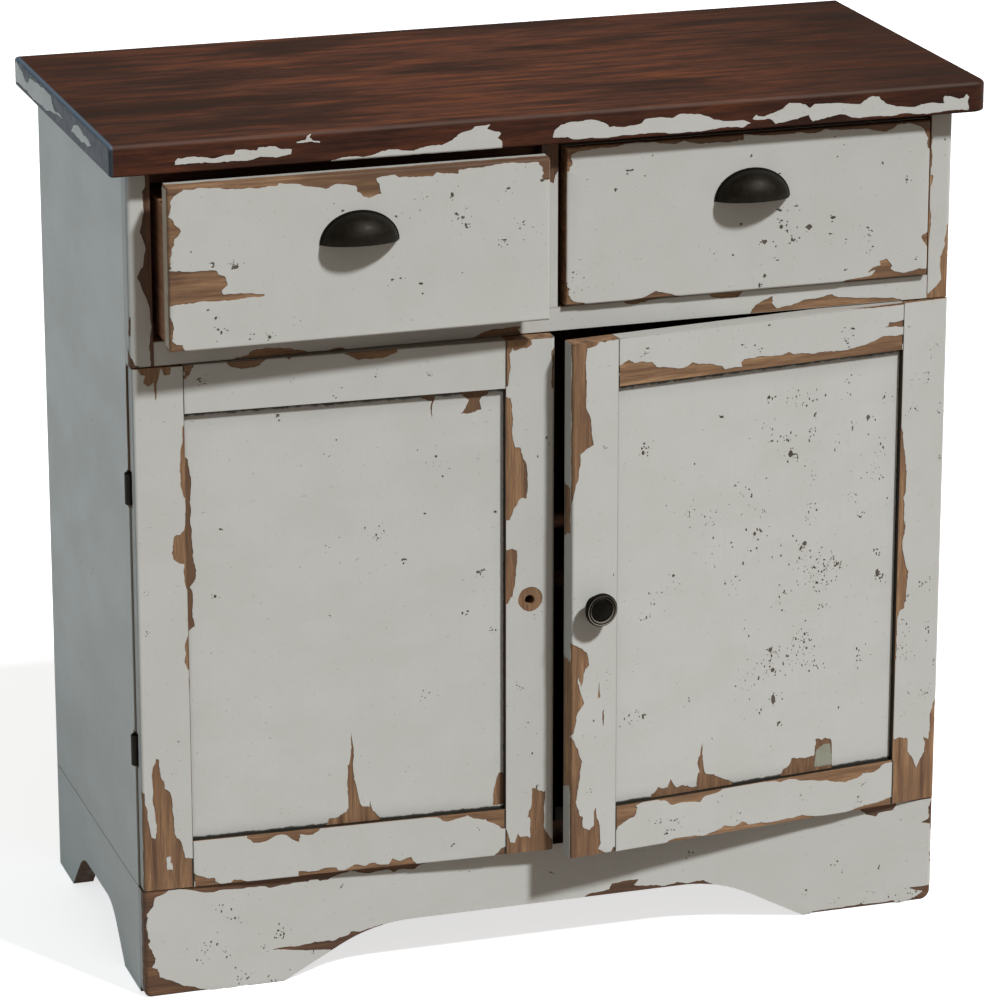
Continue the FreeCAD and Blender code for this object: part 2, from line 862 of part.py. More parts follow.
def bottom_board():
    """The drawer's bottom, held in grooves in the front and the sides."""
    inset = box_side_thickness - bottom_groove_depth
    y0 = box_front_y - box_front_dado
    z0 = box_bottom + bottom_groove_lift
    return block(box_outer_x + inset, box_inner_x - inset, y0, box_back_y, z0, z0 + bottom_thickness)


def box_back():
    """The drawer's back, which stands on the bottom and is housed in the sides."""
    inset = box_side_thickness - box_back_dado
    z0 = box_bottom + bottom_groove_lift + bottom_thickness
    y0 = box_back_y - 2 * box_back_thickness
    return block(
        box_outer_x + inset, box_inner_x - inset, y0, y0 + box_back_thickness, z0, box_top - box_back_drop
    )


def box_side(x0):
    """A drawer side, grooved for the bottom and housed for the back."""
    y0 = box_front_y - box_front_dado
    side = block(x0, x0 + box_side_thickness, y0, box_back_y, box_bottom, box_top)
    return side.cut([bottom_board(), box_back()])


def pull_place(edges):
    """Middle of a cup pull's lip, a little outward of the middle of its left-hand drawer front."""
    return (edges[0] + edges[1]) / 2 - pull_outward, edges[2] + pull_lift


def pull_screw_places(edges):
    """Where a cup pull's two screws go."""
    x, z = pull_place(edges)
    return [(x + s * pull_boss_spacing / 2, z + pull_boss_lift) for s in (-1, 1)]


def ellipsoid(rx, ry, rz, centre):
    """A stretched ball."""
    stretch = FreeCAD.Matrix()
    stretch.scale(FreeCAD.Vector(rx, ry, rz))
    ball = Part.makeSphere(1.0).transformGeometry(stretch)
    ball.translate(centre)
    return ball


def ellipse_disc(rx, rz, centre, thickness):
    """A flat oval plate standing in the X Z plane, from the drawer front outward."""
    stretch = FreeCAD.Matrix()
    stretch.scale(FreeCAD.Vector(rx, 1.0, rz))
    disc = Part.makeCylinder(1.0, thickness, ORIGIN, -Y).transformGeometry(stretch)
    disc.translate(centre)
    return disc


def cup_pull(edges):
    """A hollow half dome, open below, with a thin rim and two bosses inside for its screws."""
    x, z = pull_place(edges)
    y = front_y
    centre = FreeCAD.Vector(x, y, z)
    dome_x = pull_width / 2 - pull_rim_width
    dome_z = pull_height - pull_rim_width
    reach = pull_width
    dome = ellipsoid(dome_x, pull_projection, dome_z, centre)
    hollow = ellipsoid(dome_x - pull_wall, pull_projection - pull_wall, dome_z - pull_wall, centre)
    rim = ellipse_disc(pull_width / 2, pull_height, centre, pull_rim_thickness)
    shell = dome.fuse(rim).cut(hollow)
    places = [(sx, y, sz) for sx, sz in pull_screw_places(edges)]
    bosses = [rod(pull_boss_radius, p, -Y, pull_projection).common(dome) for p in places]
    holes = [rod(pull_screw_radius + screw_fit, p, -Y, pull_screw_bite) for p in places]
    behind = block(x - reach, x + reach, y, y + reach, z - reach, z + reach)
    below = block(x - reach, x + reach, y - reach, y + reach, z - reach, z)
    below.rotate(centre, X, -pull_lip_tilt_deg)
    return shell.fuse(bosses).cut(holes + [behind, below])


def pull_screws(edges):
    """Screws from inside the drawer into the pull's bosses."""
    screws = []
    length = pull_screw_bite + drawer_front_thickness
    for x, z in pull_screw_places(edges):
        shaft = rod(pull_screw_radius, (x, front_y - pull_screw_bite, z), Y, length)
        head = rod(pull_screw_head_radius, (x, box_front_y, z), Y, pull_screw_head_height)
        screws.append(shaft.fuse(head).removeSplitter())
    return screws


def drawer_pieces(prefix, outer, inner, edges):
    """A closed left-hand drawer, by name; outer and inner say which way its sides face."""
    return {
        prefix + "front": drawer_front(edges),
        prefix + outer + "_side": box_side(box_outer_x),
        prefix + inner + "_side": box_side(box_inner_x - box_side_thickness),
        prefix + "back": box_back(),
        prefix + "bottom": bottom_board(),
        prefix + "cup_pull": cup_pull(edges),
        prefix + "pull_screws": pull_screws(edges),
    }


def placed(pieces, move):
    """Every piece, or every solid of a group, after one move."""
    moved = {}
    for name, shape in pieces.items():
        moved[name] = [move(s) for s in shape] if isinstance(shape, list) else move(shape)
    return moved


def cabinet():
    """All pieces where they stand in the photo: drawers pulled out, doors ajar."""
    pieces = case_pieces()
    left_front = front_of(left_drawer_outer_gap, left_drawer_inner_gap, left_drawer_under_gap)
    left_drawer = drawer_pieces("left_drawer_", "left", "right", left_front)
    pieces.update(placed(left_drawer, lambda s: s.translated(Y * -left_drawer_pulled_out)))
    right_front = front_of(right_drawer_outer_gap, right_drawer_inner_gap, right_drawer_under_gap)
    right_drawer = drawer_pieces("right_drawer_", "right", "left", right_front)
    pieces.update(placed(right_drawer, lambda s: mirrored(s).translated(Y * -right_drawer_pulled_out)))
    left_door = door_pieces("left_door_", door_meeting_offset, False)
    pieces.update(placed(left_door, lambda s: swung(s, left_door_ajar_deg)))
    right_door = door_pieces("right_door_", -door_meeting_offset, True)
    pieces.update(placed(right_door, lambda s: mirrored(swung(s, right_door_ajar_deg))))
    return pieces


def solids_of(shape):
    """The solids of one piece or of a group."""
    group = shape if isinstance(shape, list) else [shape]
    return [solid for s in group for solid in s.Solids]


def main():
    """Write each piece to its own file."""
    os.makedirs("parts", exist_ok=True)
    for name, shape in cabinet().items():
        solids = solids_of(shape)
        whole = solids[0] if len(solids) == 1 else Part.makeCompound(solids)
        whole.exportStep("parts/" + name + ".step")


main()
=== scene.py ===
"""A worn, painted cabinet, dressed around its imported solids.

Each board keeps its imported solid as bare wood. The paint on it is a thin sheet of its own, cut away
where the chips bare the wood, so that every flake has a real edge. Lengths here are millimetres.
"""

import logging
import math
from dataclasses import dataclass, replace
from enum import Enum
from typing import Callable, Optional, Sequence

import bpy
import numpy as np
from mathutils import Euler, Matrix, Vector
from mathutils.geometry import delaunay_2d_cdt


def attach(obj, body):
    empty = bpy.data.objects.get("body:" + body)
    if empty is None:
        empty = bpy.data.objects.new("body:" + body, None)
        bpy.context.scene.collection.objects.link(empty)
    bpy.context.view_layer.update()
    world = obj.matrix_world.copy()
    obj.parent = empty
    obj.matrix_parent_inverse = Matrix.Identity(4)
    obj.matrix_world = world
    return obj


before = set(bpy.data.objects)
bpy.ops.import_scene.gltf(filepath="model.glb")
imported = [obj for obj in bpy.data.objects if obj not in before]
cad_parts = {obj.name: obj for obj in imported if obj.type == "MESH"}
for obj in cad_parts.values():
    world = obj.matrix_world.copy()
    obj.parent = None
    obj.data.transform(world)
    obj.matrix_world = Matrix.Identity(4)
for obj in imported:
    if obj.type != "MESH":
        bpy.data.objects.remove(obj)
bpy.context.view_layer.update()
LOG = logging.getLogger("cabinet")
MM = 0.001
SHARP_DEG = 35
EASE_ROUNDS = 12
EASE_FEWEST = 8
TINY = 1e-9
OUTSIDE = -1e3
WHOLE_NET = 0
SAME_POINT = 1e-4
LAST_CELL = 1.001

Triple = tuple[float, float, float]
Colour = Triple
Span = tuple[float, float]
Outline = tuple[Span, ...]
Range = tuple[float, float, float, float]
Rows = tuple[Range, ...]
Grid = tuple[np.ndarray, np.ndarray]
Move = Callable[[np.ndarray], np.ndarray]
Socket = bpy.types.NodeSocket
Value = float | tuple[float, ...] | Socket


def srgb(red: int, green: int, blue: int) -> Colour:
    """A colour as a screen shows it, 0 to 255 each, as linear light."""
    shares = [level / 255 for level in (red, green, blue)]
    return tuple(s / 12.92 if s <= 0.04045 else ((s + 0.055) / 1.055) ** 2.4 for s in shares)


def chip(*numbers: float) -> Outline:
    """An outline from its first corner and the steps from each corner to the next."""
    corners = np.cumsum(np.array(numbers, float).reshape(-1, 2), axis=0)
    return tuple((round(u, 1), round(v, 1)) for u, v in corners.tolist())


class Facing(Enum):
    """The way a painted face looks: its directions across, along and outward."""

    FRONT_UPRIGHT = ((1, 0, 0), (0, 0, 1), (0, -1, 0))
    FRONT_LEVEL = ((0, 0, 1), (1, 0, 0), (0, -1, 0))
    LEFT_UPRIGHT = ((0, 1, 0), (0, 0, 1), (-1, 0, 0))
    RIGHT_UPRIGHT = ((0, 1, 0), (0, 0, 1), (1, 0, 0))
    LEFT_LEVEL = ((0, 0, 1), (0, 1, 0), (-1, 0, 0))
    RIGHT_LEVEL = ((0, 0, 1), (0, 1, 0), (1, 0, 0))
    UP_LEVEL = ((0, 1, 0), (1, 0, 0), (0, 0, 1))
    DOWN_LEVEL = ((0, 1, 0), (1, 0, 0), (0, 0, -1))


class Grain(Enum):
    """The way a board's grain runs, as the share of fine detail along X, Y and Z."""

    LEVEL = (0.05, 1.0, 1.0)
    UPRIGHT = (1.0, 1.0, 0.05)
    DEEP = (1.0, 0.05, 1.0)


class Tone(Enum):
    """The dark, middle and light streaks of a wood, as a screen shows them."""

    BARE = ((82, 58, 42), (148, 113, 82), (182, 145, 108))
    AGED = ((56, 39, 29), (104, 74, 53), (140, 104, 76))
    BOX = ((112, 74, 52), (160, 112, 82), (184, 135, 102))
    INNER = ((58, 36, 26), (98, 63, 44), (122, 82, 58))


@dataclass
class Tree:
    """A node tree that is filled node by node."""

    MIX_COLOURS = (6, 7)
    MIX_RESULT = 2

    tree: bpy.types.NodeTree

    def put(self, value: Value, socket: Socket) -> None:
        """Joins a socket to another one, or sets it to a constant.

        Args:
            value: a constant or a socket.
            socket: where it goes.
        """
        if isinstance(value, Socket):
            self.tree.links.new(value, socket)
        else:
            socket.default_value = value

    def add(self, kind: str, values: Optional[dict] = None, **settings: object) -> bpy.types.Node:
        """A new node.

        Args:
            kind: the node's type name.
            values: input sockets' names or numbers, each with a value or a socket to join.
            settings: the node's own properties.

        Returns:
            The node.
        """
        node = self.tree.nodes.new(kind)
        for name, value in settings.items():
            setattr(node, name, value)
        for key, value in (values or {}).items():
            self.put(value, node.inputs[key])
        return node

    def math(self, operation: str, *values: Value) -> Socket:
        """The result of one sum on numbers or sockets."""
        return self.add("ShaderNodeMath", dict(enumerate(values)), operation=operation).outputs[0]

    def vector(self, operation: str, *values: Value) -> bpy.types.Node:
        """One sum on vectors."""
        return self.add("ShaderNodeVectorMath", dict(enumerate(values)), operation=operation)

    def split(self, place: Socket) -> Sequence[Socket]:
        """The three parts of a place."""
        return self.add("ShaderNodeSeparateXYZ", {0: place}).outputs

    def span(self, value: Socket, low: float, high: float, to_low: float, to_high: float) -> Socket:
        """A value moved smoothly from a first range, low to high, to a second one."""
        values = dict(enumerate((value, low, high, to_low, to_high)))
        return self.add("ShaderNodeMapRange", values, interpolation_type="SMOOTHSTEP").outputs[0]

    def noise(self, place: Socket, scale: float, detail: float = 4.0, rough: float = 0.55) -> Socket:
        """Cloudy values, 0 to 1, over a place."""
        values = {"Vector": place, "Scale": scale, "Detail": detail, "Roughness": rough}
        return self.add("ShaderNodeTexNoise", values, noise_dimensions="3D").outputs[0]

    def mix(self, share: Value, first: Value, second: Value) -> Socket:
        """Two colours mixed by a share of the second.

        Args:
            share: how much of the second, 0 to 1.
            first: a colour or a socket.
            second: a colour or a socket.

        Returns:
            The mixed colour.
        """
        node = self.add("ShaderNodeMix", {0: share}, data_type="RGBA")
        for key, value in zip(self.MIX_COLOURS, (first, second)):
            self.put((*value, 1.0) if isinstance(value, tuple) else value, node.inputs[key])
        return node.outputs[self.MIX_RESULT]

    def ramp(self, value: Socket, *stops: tuple[float, Colour]) -> Socket:
        """A colour read from stops by a value.

        Args:
            value: what the colour is read by.
            stops: places from 0 to 1, each with its colour.

        Returns:
            The colour.
        """
        node = self.add("ShaderNodeValToRGB", {0: value})
        steps = node.color_ramp.elements
        while len(steps) < len(stops):
            steps.new(0.5)
        for step, (at, colour) in zip(steps, stops):
            step.position = at
            step.color = (*colour, 1.0)
        return node.outputs[0]

    def bump(self, height: Socket, strength: float, distance: float) -> Socket:
        """A surface direction raised by a height."""
        values = {"Strength": strength, "Distance": distance, "Height": height}
        return self.add("ShaderNodeBump", values).outputs[0]

    def group(self, effect: "Effect", **values: Value) -> Sequence[Socket]:
        """What a shared effect gives for some inputs."""
        return self.add("ShaderNodeGroup", values, node_tree=effect.group()).outputs


@dataclass(frozen=True)
class Effect:
    """An effect that several finishes share, as a node group that is built once."""

    name: str
    inputs: tuple[tuple[str, str], ...]
    fill: Callable[[Tree, Sequence[Socket]], dict[str, Socket]]

    def group(self) -> bpy.types.NodeTree:
        """The node group, built at its first use.

        Returns:
            The group's nodes.
        """
        found = bpy.data.node_groups.get(self.name)
        if found:
            return found
        made = bpy.data.node_groups.new(self.name, "ShaderNodeTree")
        for name, kind in self.inputs:
            made.interface.new_socket(name=name, in_out="INPUT", socket_type="NodeSocket" + kind)
        tree = Tree(made)
        results = self.fill(tree, tree.add("NodeGroupInput").outputs)
        for name in results:
            made.interface.new_socket(name=name, in_out="OUTPUT", socket_type="NodeSocketFloat")
        tree.add("NodeGroupOutput", results)
        return made


BRUSH_MARKS = (420.0, 14.0, 1.0)
SPOT_SPAN = (0.69, 0.76, 0.0, 1.0)
DIRT_SPAN = (0.3, 0.62, 1.0, 0.0)
SHADE_SPAN = (0.0, 3.0, 1.0, 0.0)
SIDES_SHARE = 3.0
DIRT_RAGGED = 0.9


def fill_grain(tree: Tree, given: Sequence[Socket]) -> dict[str, Socket]:
    """Wood grain: broad streaks, fine fibres and dark patches over a place.

    Args:
        tree: the group's nodes.
        given: the group's inputs.

    Returns:
        The values that come out, by name.
    """
    board, stretch, blotch = given[:3]
    place = tree.vector("MULTIPLY", board, stretch).outputs[0]
    broad = tree.vector("MULTIPLY", board, blotch).outputs[0]
    shift = tree.vector("ADD", place, tree.noise(place, scale=0.11, detail=2.0)).outputs[0]
    return {
        "Streak": tree.noise(shift, scale=0.42, detail=6.0, rough=0.62),
        "Fibre": tree.noise(shift, scale=2.1, detail=3.0, rough=0.7),
        "Patch": tree.noise(broad, scale=1.0, detail=4.0, rough=0.6),
    }


def fill_mottle(tree: Tree, given: Sequence[Socket]) -> dict[str, Socket]:
    """Uneven paint: broad clouds, brush marks along the board and small dull spots.

    Args:
        tree: the group's nodes.
        given: the group's inputs.

    Returns:
        The values that come out, by name.
    """
    board = given[0]
    along = tree.vector("MULTIPLY", board, BRUSH_MARKS).outputs[0]
    return {
        "Cloud": tree.noise(board, scale=13.0, detail=5.0, rough=0.62),
        "Brush": tree.noise(along, scale=1.0, detail=3.0, rough=0.6),
        "Spot": tree.span(tree.noise(board, scale=260.0, detail=2.0, rough=0.5), *SPOT_SPAN),
    }


def fill_rim_darkening(tree: Tree, given: Sequence[Socket]) -> dict[str, Socket]:
    """Darkening along a board's rim: dirt with a ragged inner edge, which on the door panels also paints the
    shade in the recess, and a painted shade fading in from the rim.

    Args:
        tree: the group's nodes.
        given: the group's inputs.

    Returns:
        The values that come out, by name.
    """
    rim_place, board, reach, top = given[:4]
    left, right, low = tree.split(rim_place)
    _, _, high = tree.split(board)
    sides = tree.math("MULTIPLY", tree.math("MINIMUM", left, right), SIDES_SHARE)
    near = tree.math("MINIMUM", sides, low)
    near = tree.math("MINIMUM", near, tree.math("MULTIPLY", high, top))
    share = tree.math("DIVIDE", near, reach)
    rough = tree.math("SUBTRACT", tree.noise(board, scale=95.0, detail=5.0, rough=0.65), 0.5)
    ragged = tree.math("ADD", share, tree.math("MULTIPLY", rough, DIRT_RAGGED))
    return {"Dirt": tree.span(ragged, *DIRT_SPAN), "Shade": tree.span(share, *SHADE_SPAN)}


GRAIN = Effect("grain", (("Place", "Vector"), ("Stretch", "Vector"), ("Blotch", "Vector")), fill_grain)
MOTTLE = Effect("mottle", (("Board", "Vector"),), fill_mottle)
# Rim darkening: dirt, and on the door panels painted shade as well.
RIM_DARKENING = Effect(
    "grime", (("Rim", "Vector"), ("Board", "Vector"), ("Reach", "Float"), ("Top", "Float")), fill_rim_darkening
)


@dataclass(frozen=True)
class Finish:
    """A finish, which becomes a material at its first use."""

    name: str

    def material(self) -> bpy.types.Material:
        """The finish as a material, made once.

        Returns:
            The material.
        """
        found = bpy.data.materials.get(self.name)
        if found:
            return found
        made = bpy.data.materials.new(self.name)
        made.use_nodes = True
        made.node_tree.nodes.clear()
        tree = Tree(made.node_tree)
        shader = tree.add("ShaderNodeBsdfPrincipled", self.inputs(tree))
        tree.add("ShaderNodeOutputMaterial", {0: shader.outputs[0]})
        return made

    def inputs(self, tree: Tree) -> dict:
        """What goes into the shader's sockets."""
        raise NotImplementedError


@dataclass(frozen=True)
class Wood(Finish):
    """A wooden finish with grain, darker over a range of heights where it has a shade."""

    SHADE_RUN = 40.0
    STOPS = (0.30, 0.50, 0.70)
    BLOTCH = (4.0, 12.0)
    FIBRE_SPAN = (0.35, 0.7)
    FIBRE_RELIEF = 0.5
    ROUGH_SPAN = (0.3, 0.7)
    DEPTH = 0.0006

    dark: Colour
    middle: Colour
    light: Colour
    grain: Grain
    fineness: float = 330.0
    turn_deg: float = 0.0
    roughness: Span = (0.62, 0.82)
    patches: float = 0.45
    patch_span: Span = (0.42, 0.72)
    fibres: float = 0.55
    relief: float = 0.25
    specular: float = 0.3
    dash: float = 1.0
    shade: Optional[Triple] = None
    shade_from: Optional[float] = None

    def inputs(self, tree: Tree) -> dict:
        """What goes into the shader's sockets.

        Args:
            tree: the material's nodes.

        Returns:
            Values and joined sockets, by the names of the shader's sockets.
        """
        place = tree.add("ShaderNodeTexCoord").outputs["Object"]
        if self.turn_deg:
            values = {"Vector": place, "Angle": math.radians(self.turn_deg)}
            place = tree.add("ShaderNodeVectorRotate", values, rotation_type="Z_AXIS").outputs[0]
        shares = self.grain.value
        stretch = tuple(self.fineness * (s if s == 1.0 else s * self.dash) for s in shares)
        blotch = tuple(self.BLOTCH[0] + self.BLOTCH[1] * s for s in shares)
        streak, fibre, patch = tree.group(GRAIN, Place=place, Stretch=stretch, Blotch=blotch)
        body = tree.ramp(streak, *zip(self.STOPS, (self.dark, self.middle, self.light)))
        body = tree.mix(tree.span(fibre, *self.FIBRE_SPAN, self.fibres, 0.0), body, self.dark)
        body = tree.mix(tree.span(patch, *self.patch_span, 0.0, self.patches), body, self.dark)
        height = tree.math("ADD", streak, tree.math("MULTIPLY", fibre, self.FIBRE_RELIEF))
        return {
            "Base Color": self.aged(tree, body, place),
            "Roughness": tree.span(streak, *self.ROUGH_SPAN, *self.roughness),
            "Normal": tree.bump(height, self.relief, self.DEPTH),
            "Specular IOR Level": self.specular,
        }

    def aged(self, tree: Tree, body: Socket, place: Socket) -> Socket:
        """The wood's colour, darker over a range of heights where a shade range is given.

        Args:
            tree: the material's nodes.
            body: the plain colour.
            place: where it is, along the board's own directions.

        Returns:
            The colour.
        """
        if self.shade is None:
            return body
        x, _, z = tree.split(place)
        low, high, amount = self.shade
        share = tree.span(z, low * MM, high * MM, 0.0, amount)
        if self.shade_from is not None:
            run = tree.span(x, self.shade_from * MM, (self.shade_from + self.SHADE_RUN) * MM, 0.0, 1.0)
            share = tree.math("MULTIPLY", share, run)
        return tree.mix(share, body, self.dark)


@dataclass(frozen=True)
class TopWood(Wood):
    """The stain of the top: darker at its ends and front, with a painted reflection that turns its left end
    blue-grey and painted highlights along its front and left top rims.

    Each range says where it starts and ends, in metres, and its strength at both.
    """

    # Painted reflection: the left end face is coloured blue-grey, where the cool light from the left shows
    # in it.
    end_reflection: Colour = srgb(70, 79, 87)
    # Painted highlights: pale along the front top rim, blue-white along the left top rim.
    painted_highlight: Colour = srgb(118, 103, 94)
    end_rim_highlight: Colour = srgb(128, 147, 164)
    right_end: Range = (0.12, 0.42, 0.0, 0.65)
    left_end: Range = (-0.42, -0.22, 0.5, 0.0)
    front_face: Range = (-0.2012, -0.1985, 0.45, 0.0)
    left_face: Range = (-0.4185, -0.4155, 0.9, 0.0)
    front_highlight_span: Range = (0.0003, 0.003, 0.0, 0.25)
    end_highlight_span: Range = (0.0003, 0.0028, 0.0, 0.5)
    front_rim: float = -0.1975
    left_rim: float = -0.4155
    rim_height: float = 0.8285

    def aged(self, tree: Tree, body: Socket, place: Socket) -> Socket:
        """The stain's colour with its dark places, its painted reflection and its painted highlights.

        Args:
            tree: the material's nodes.
            body: the plain colour.
            place: where it is, along the board's own directions.

        Returns:
            The colour.
        """
        x, y, z = tree.split(place)
        ends = tree.math("MAXIMUM", tree.span(x, *self.right_end), tree.span(x, *self.left_end))
        shaded = tree.math("MAXIMUM", ends, tree.span(y, *self.front_face))
        body = tree.mix(shaded, body, self.dark)
        # Painted reflection: the left end face is mixed to blue-grey.
        body = tree.mix(tree.span(x, *self.left_face), body, self.end_reflection)
        # Painted highlights: pale bands mixed in along the front and left top rims.
        above = tree.math("SUBTRACT", z, self.rim_height)
        rim = tree.math("MINIMUM", tree.math("SUBTRACT", self.front_rim, y), above)
        body = tree.mix(tree.span(rim, *self.front_highlight_span), body, self.painted_highlight)
        rim = tree.math("MINIMUM", tree.math("SUBTRACT", self.left_rim, x), above)
        return tree.mix(tree.span(rim, *self.end_highlight_span), body, self.end_rim_highlight)


@dataclass(frozen=True)
class Paint(Finish):
    """Old oil paint, dulled, and darkened along the rims by dirt and by painted shade."""

    CLOUDED = (0.35, 0.68, 0.0, 1.0)
    BRUSHED = (0.3, 0.75, 0.0, 0.35)
    ROUGHNESS = (0.3, 0.7, 0.55, 0.61)
    SPOTS = 0.35
    SPOT_RELIEF = 0.6
    RELIEF = 0.2
    DEPTH = 0.0003
    SPECULAR = 0.2

    clean: Colour
    dull: Colour
    # The colour the paint darkens to, for dull spots, for dirt along the rims and for the painted shade
    # there.
    dirt: Colour
    rim_reach: float = 2.0
    rim_dirt_and_shade: float = 0.3
    rim_shade: float = 0.06
    rim_top: float = 3.0

    def inputs(self, tree: Tree) -> dict:
        """What goes into the shader's sockets.

        Args:
            tree: the material's nodes.

        Returns:
            Values and joined sockets, by the names of the shader's sockets.
        """
        board = tree.add("ShaderNodeAttribute", attribute_name="board").outputs["Vector"]
        rim = tree.add("ShaderNodeAttribute", attribute_name="rim").outputs["Vector"]
        cloud, brush, spot = tree.group(MOTTLE, Board=board)
        # The rim darkening: dirt, and on the door panels painted shade in the recess and under the top rail.
        dirt, shade = tree.group(RIM_DARKENING, Rim=rim, Board=board, Reach=self.rim_reach * MM, Top=self.rim_top)
        body = tree.mix(tree.span(cloud, *self.CLOUDED), self.clean, self.dull)
        body = tree.mix(tree.span(brush, *self.BRUSHED), body, self.dull)
        for mask, amount in ((spot, self.SPOTS), (shade, self.rim_shade), (dirt, self.rim_dirt_and_shade)):
            body = tree.mix(tree.math("MULTIPLY", mask, amount), body, self.dirt)
        height = tree.math("ADD", brush, tree.math("MULTIPLY", spot, self.SPOT_RELIEF))
        return {
            "Base Color": body,
            "Roughness": tree.span(cloud, *self.ROUGHNESS),
            "Normal": tree.bump(height, self.RELIEF, self.DEPTH),
            "Specular IOR Level": self.SPECULAR,
        }


@dataclass(frozen=True)
class Metal(Finish):
    """A metal finish with a slightly uneven surface, and painted highlights as pale rings about an axis."""

    WORN = (0.4, 0.75, 0.0, 1.0)
    RUB = (0.0002, 0.0007, 0.85, 0.0)
    ROUGH_SPAN = (0.3, 0.7)
    RELIEF = 0.12
    DEPTH = 0.0003

    base: Colour
    worn: Colour
    roughness: Span
    metallic: float = 0.85
    specular: float = 0.5
    rings: tuple[float, ...] = ()
    middle: Triple = (0.0, 0.0, 0.0)
    axis: Triple = (0.0, -1.0, 0.0)
    painted_highlight: Colour = srgb(132, 126, 116)
    tint: Colour = (1.0, 1.0, 1.0)

    def inputs(self, tree: Tree) -> dict:
        """What goes into the shader's sockets.

        Args:
            tree: the material's nodes.

        Returns:
            Values and joined sockets, by the names of the shader's sockets.
        """
        place = tree.add("ShaderNodeTexCoord").outputs["Object"]
        cloud = tree.noise(place, scale=180.0, detail=5.0, rough=0.6)
        body = tree.mix(tree.span(cloud, *self.WORN), self.base, self.worn)
        # Pale rings about the axis: painted highlights on the knob's crests.
        if self.rings:
            out = tree.vector("SUBTRACT", place, tuple(value * MM for value in self.middle)).outputs[0]
            out = tree.vector("CROSS_PRODUCT", out, self.axis).outputs[0]
            radius = tree.vector("LENGTH", out).outputs["Value"]
            for ring in self.rings:
                off = tree.math("ABSOLUTE", tree.math("SUBTRACT", radius, ring * MM))
                body = tree.mix(tree.span(off, *self.RUB), body, self.painted_highlight)
        height = tree.noise(place, scale=900.0, detail=3.0)
        return {
            "Base Color": body,
            "Roughness": tree.span(cloud, *self.ROUGH_SPAN, *self.roughness),
            "Normal": tree.bump(height, self.RELIEF, self.DEPTH),
            "Metallic": self.metallic,
            "Specular Tint": (*self.tint, 1.0),
            "Specular IOR Level": self.specular,
        }


@dataclass(frozen=True)
class Ground(Finish):
    """A pale floor, which shows white to the eye and sends little light back on the cabinet."""

    pale: Colour = (0.9, 0.9, 0.9)
    bounce: Colour = (0.25, 0.21, 0.18)
    glow: float = 0.7

    def inputs(self, tree: Tree) -> dict:
        """What goes into the shader's sockets.

        Args:
            tree: the material's nodes.

        Returns:
            Values and joined sockets, by the names of the shader's sockets.
        """
        path = tree.add("ShaderNodeLightPath").outputs
        seen = tree.math("MAXIMUM", path["Is Camera Ray"], path["Is Glossy Ray"])
        seen = tree.math("MAXIMUM", seen, path["Is Transmission Ray"])
        return {
            "Base Color": tree.mix(seen, self.bounce, self.pale),
            "Emission Strength": tree.math("MULTIPLY", seen, self.glow),
            "Emission Color": (1.0, 1.0, 1.0, 1.0),
            "Roughness": 0.9,
            "Specular IOR Level": 0.1,
        }


OFF_WHITE = Paint(
    "off_white_paint", clean=srgb(196, 195, 189), dull=srgb(192, 191, 184), dirt=srgb(92, 83, 69)
)
# The panels' rims are darkened in the recess. There is painted shade at every rim, and a dark line under the
# top rail that is painted shade with grime. Along the bottom it is grime.
PANEL_WHITE = Paint(
    "panel_paint", clean=srgb(199, 198, 192), dull=srgb(194, 193, 186), dirt=srgb(38, 34, 28),
    rim_reach=5.0, rim_dirt_and_shade=0.95, rim_shade=0.14, rim_top=0.62,
)
PIT = Paint(
    "pit_floor", clean=srgb(100, 92, 81), dull=srgb(74, 67, 58), dirt=srgb(52, 46, 39), rim_reach=3.0
)
# Near-black sheets on the recess walls, which are grime and painted shade, and dark grime in the frame's
# joints.
GRIME_AND_SHADE = Paint(
    "recess_grime_and_shade", clean=srgb(39, 34, 26), dull=srgb(26, 23, 17), dirt=srgb(16, 14, 10),
    rim_reach=3.0, rim_dirt_and_shade=0.6,
)
END_WHITE = Paint(
    "end_paint", clean=srgb(188, 172, 152), dull=srgb(172, 152, 130), dirt=srgb(92, 83, 69)
)
OLD_PAINT = Paint(
    "older_paint", clean=srgb(150, 150, 134), dull=srgb(126, 126, 112), dirt=srgb(84, 72, 56),
    rim_reach=1.5, rim_dirt_and_shade=0.6,
)
BRONZE = Metal(
    "bronze", base=srgb(14, 12, 8), worn=srgb(24, 20, 14), roughness=(0.42, 0.54), metallic=0.0,
    specular=0.13, tint=(1.0, 0.88, 0.74),
)
STEEL = Metal(
    "zinc", base=srgb(150, 150, 148), worn=srgb(120, 118, 114), roughness=(0.3, 0.45), metallic=1.0
)
STAINED = TopWood(
    "top_stain", dark=srgb(45, 31, 26), middle=srgb(98, 60, 46), light=srgb(134, 77, 50),
    grain=Grain.LEVEL, fineness=250.0, roughness=(0.36, 0.5), patches=0.8, patch_span=(0.44, 0.66),
    fibres=0.45, relief=0.1, specular=0.02, dash=1.8,
)


def wood(tone: Tone, grain: Grain, turn_deg: float = 0.0) -> Wood:
    """The plain wood of a board.

    Args:
        tone: its colours.
        grain: the way the board's grain runs.
        turn_deg: how far the board is turned about the upright axis.

    Returns:
        The finish.
    """
    name = "%s_wood_%s" % (tone.name.lower(), grain.name.lower())
    if turn_deg:
        name += "_turned_%d" % round(turn_deg * 10)
    return Wood(name, *(srgb(*colour) for colour in tone.value), grain, turn_deg=turn_deg)


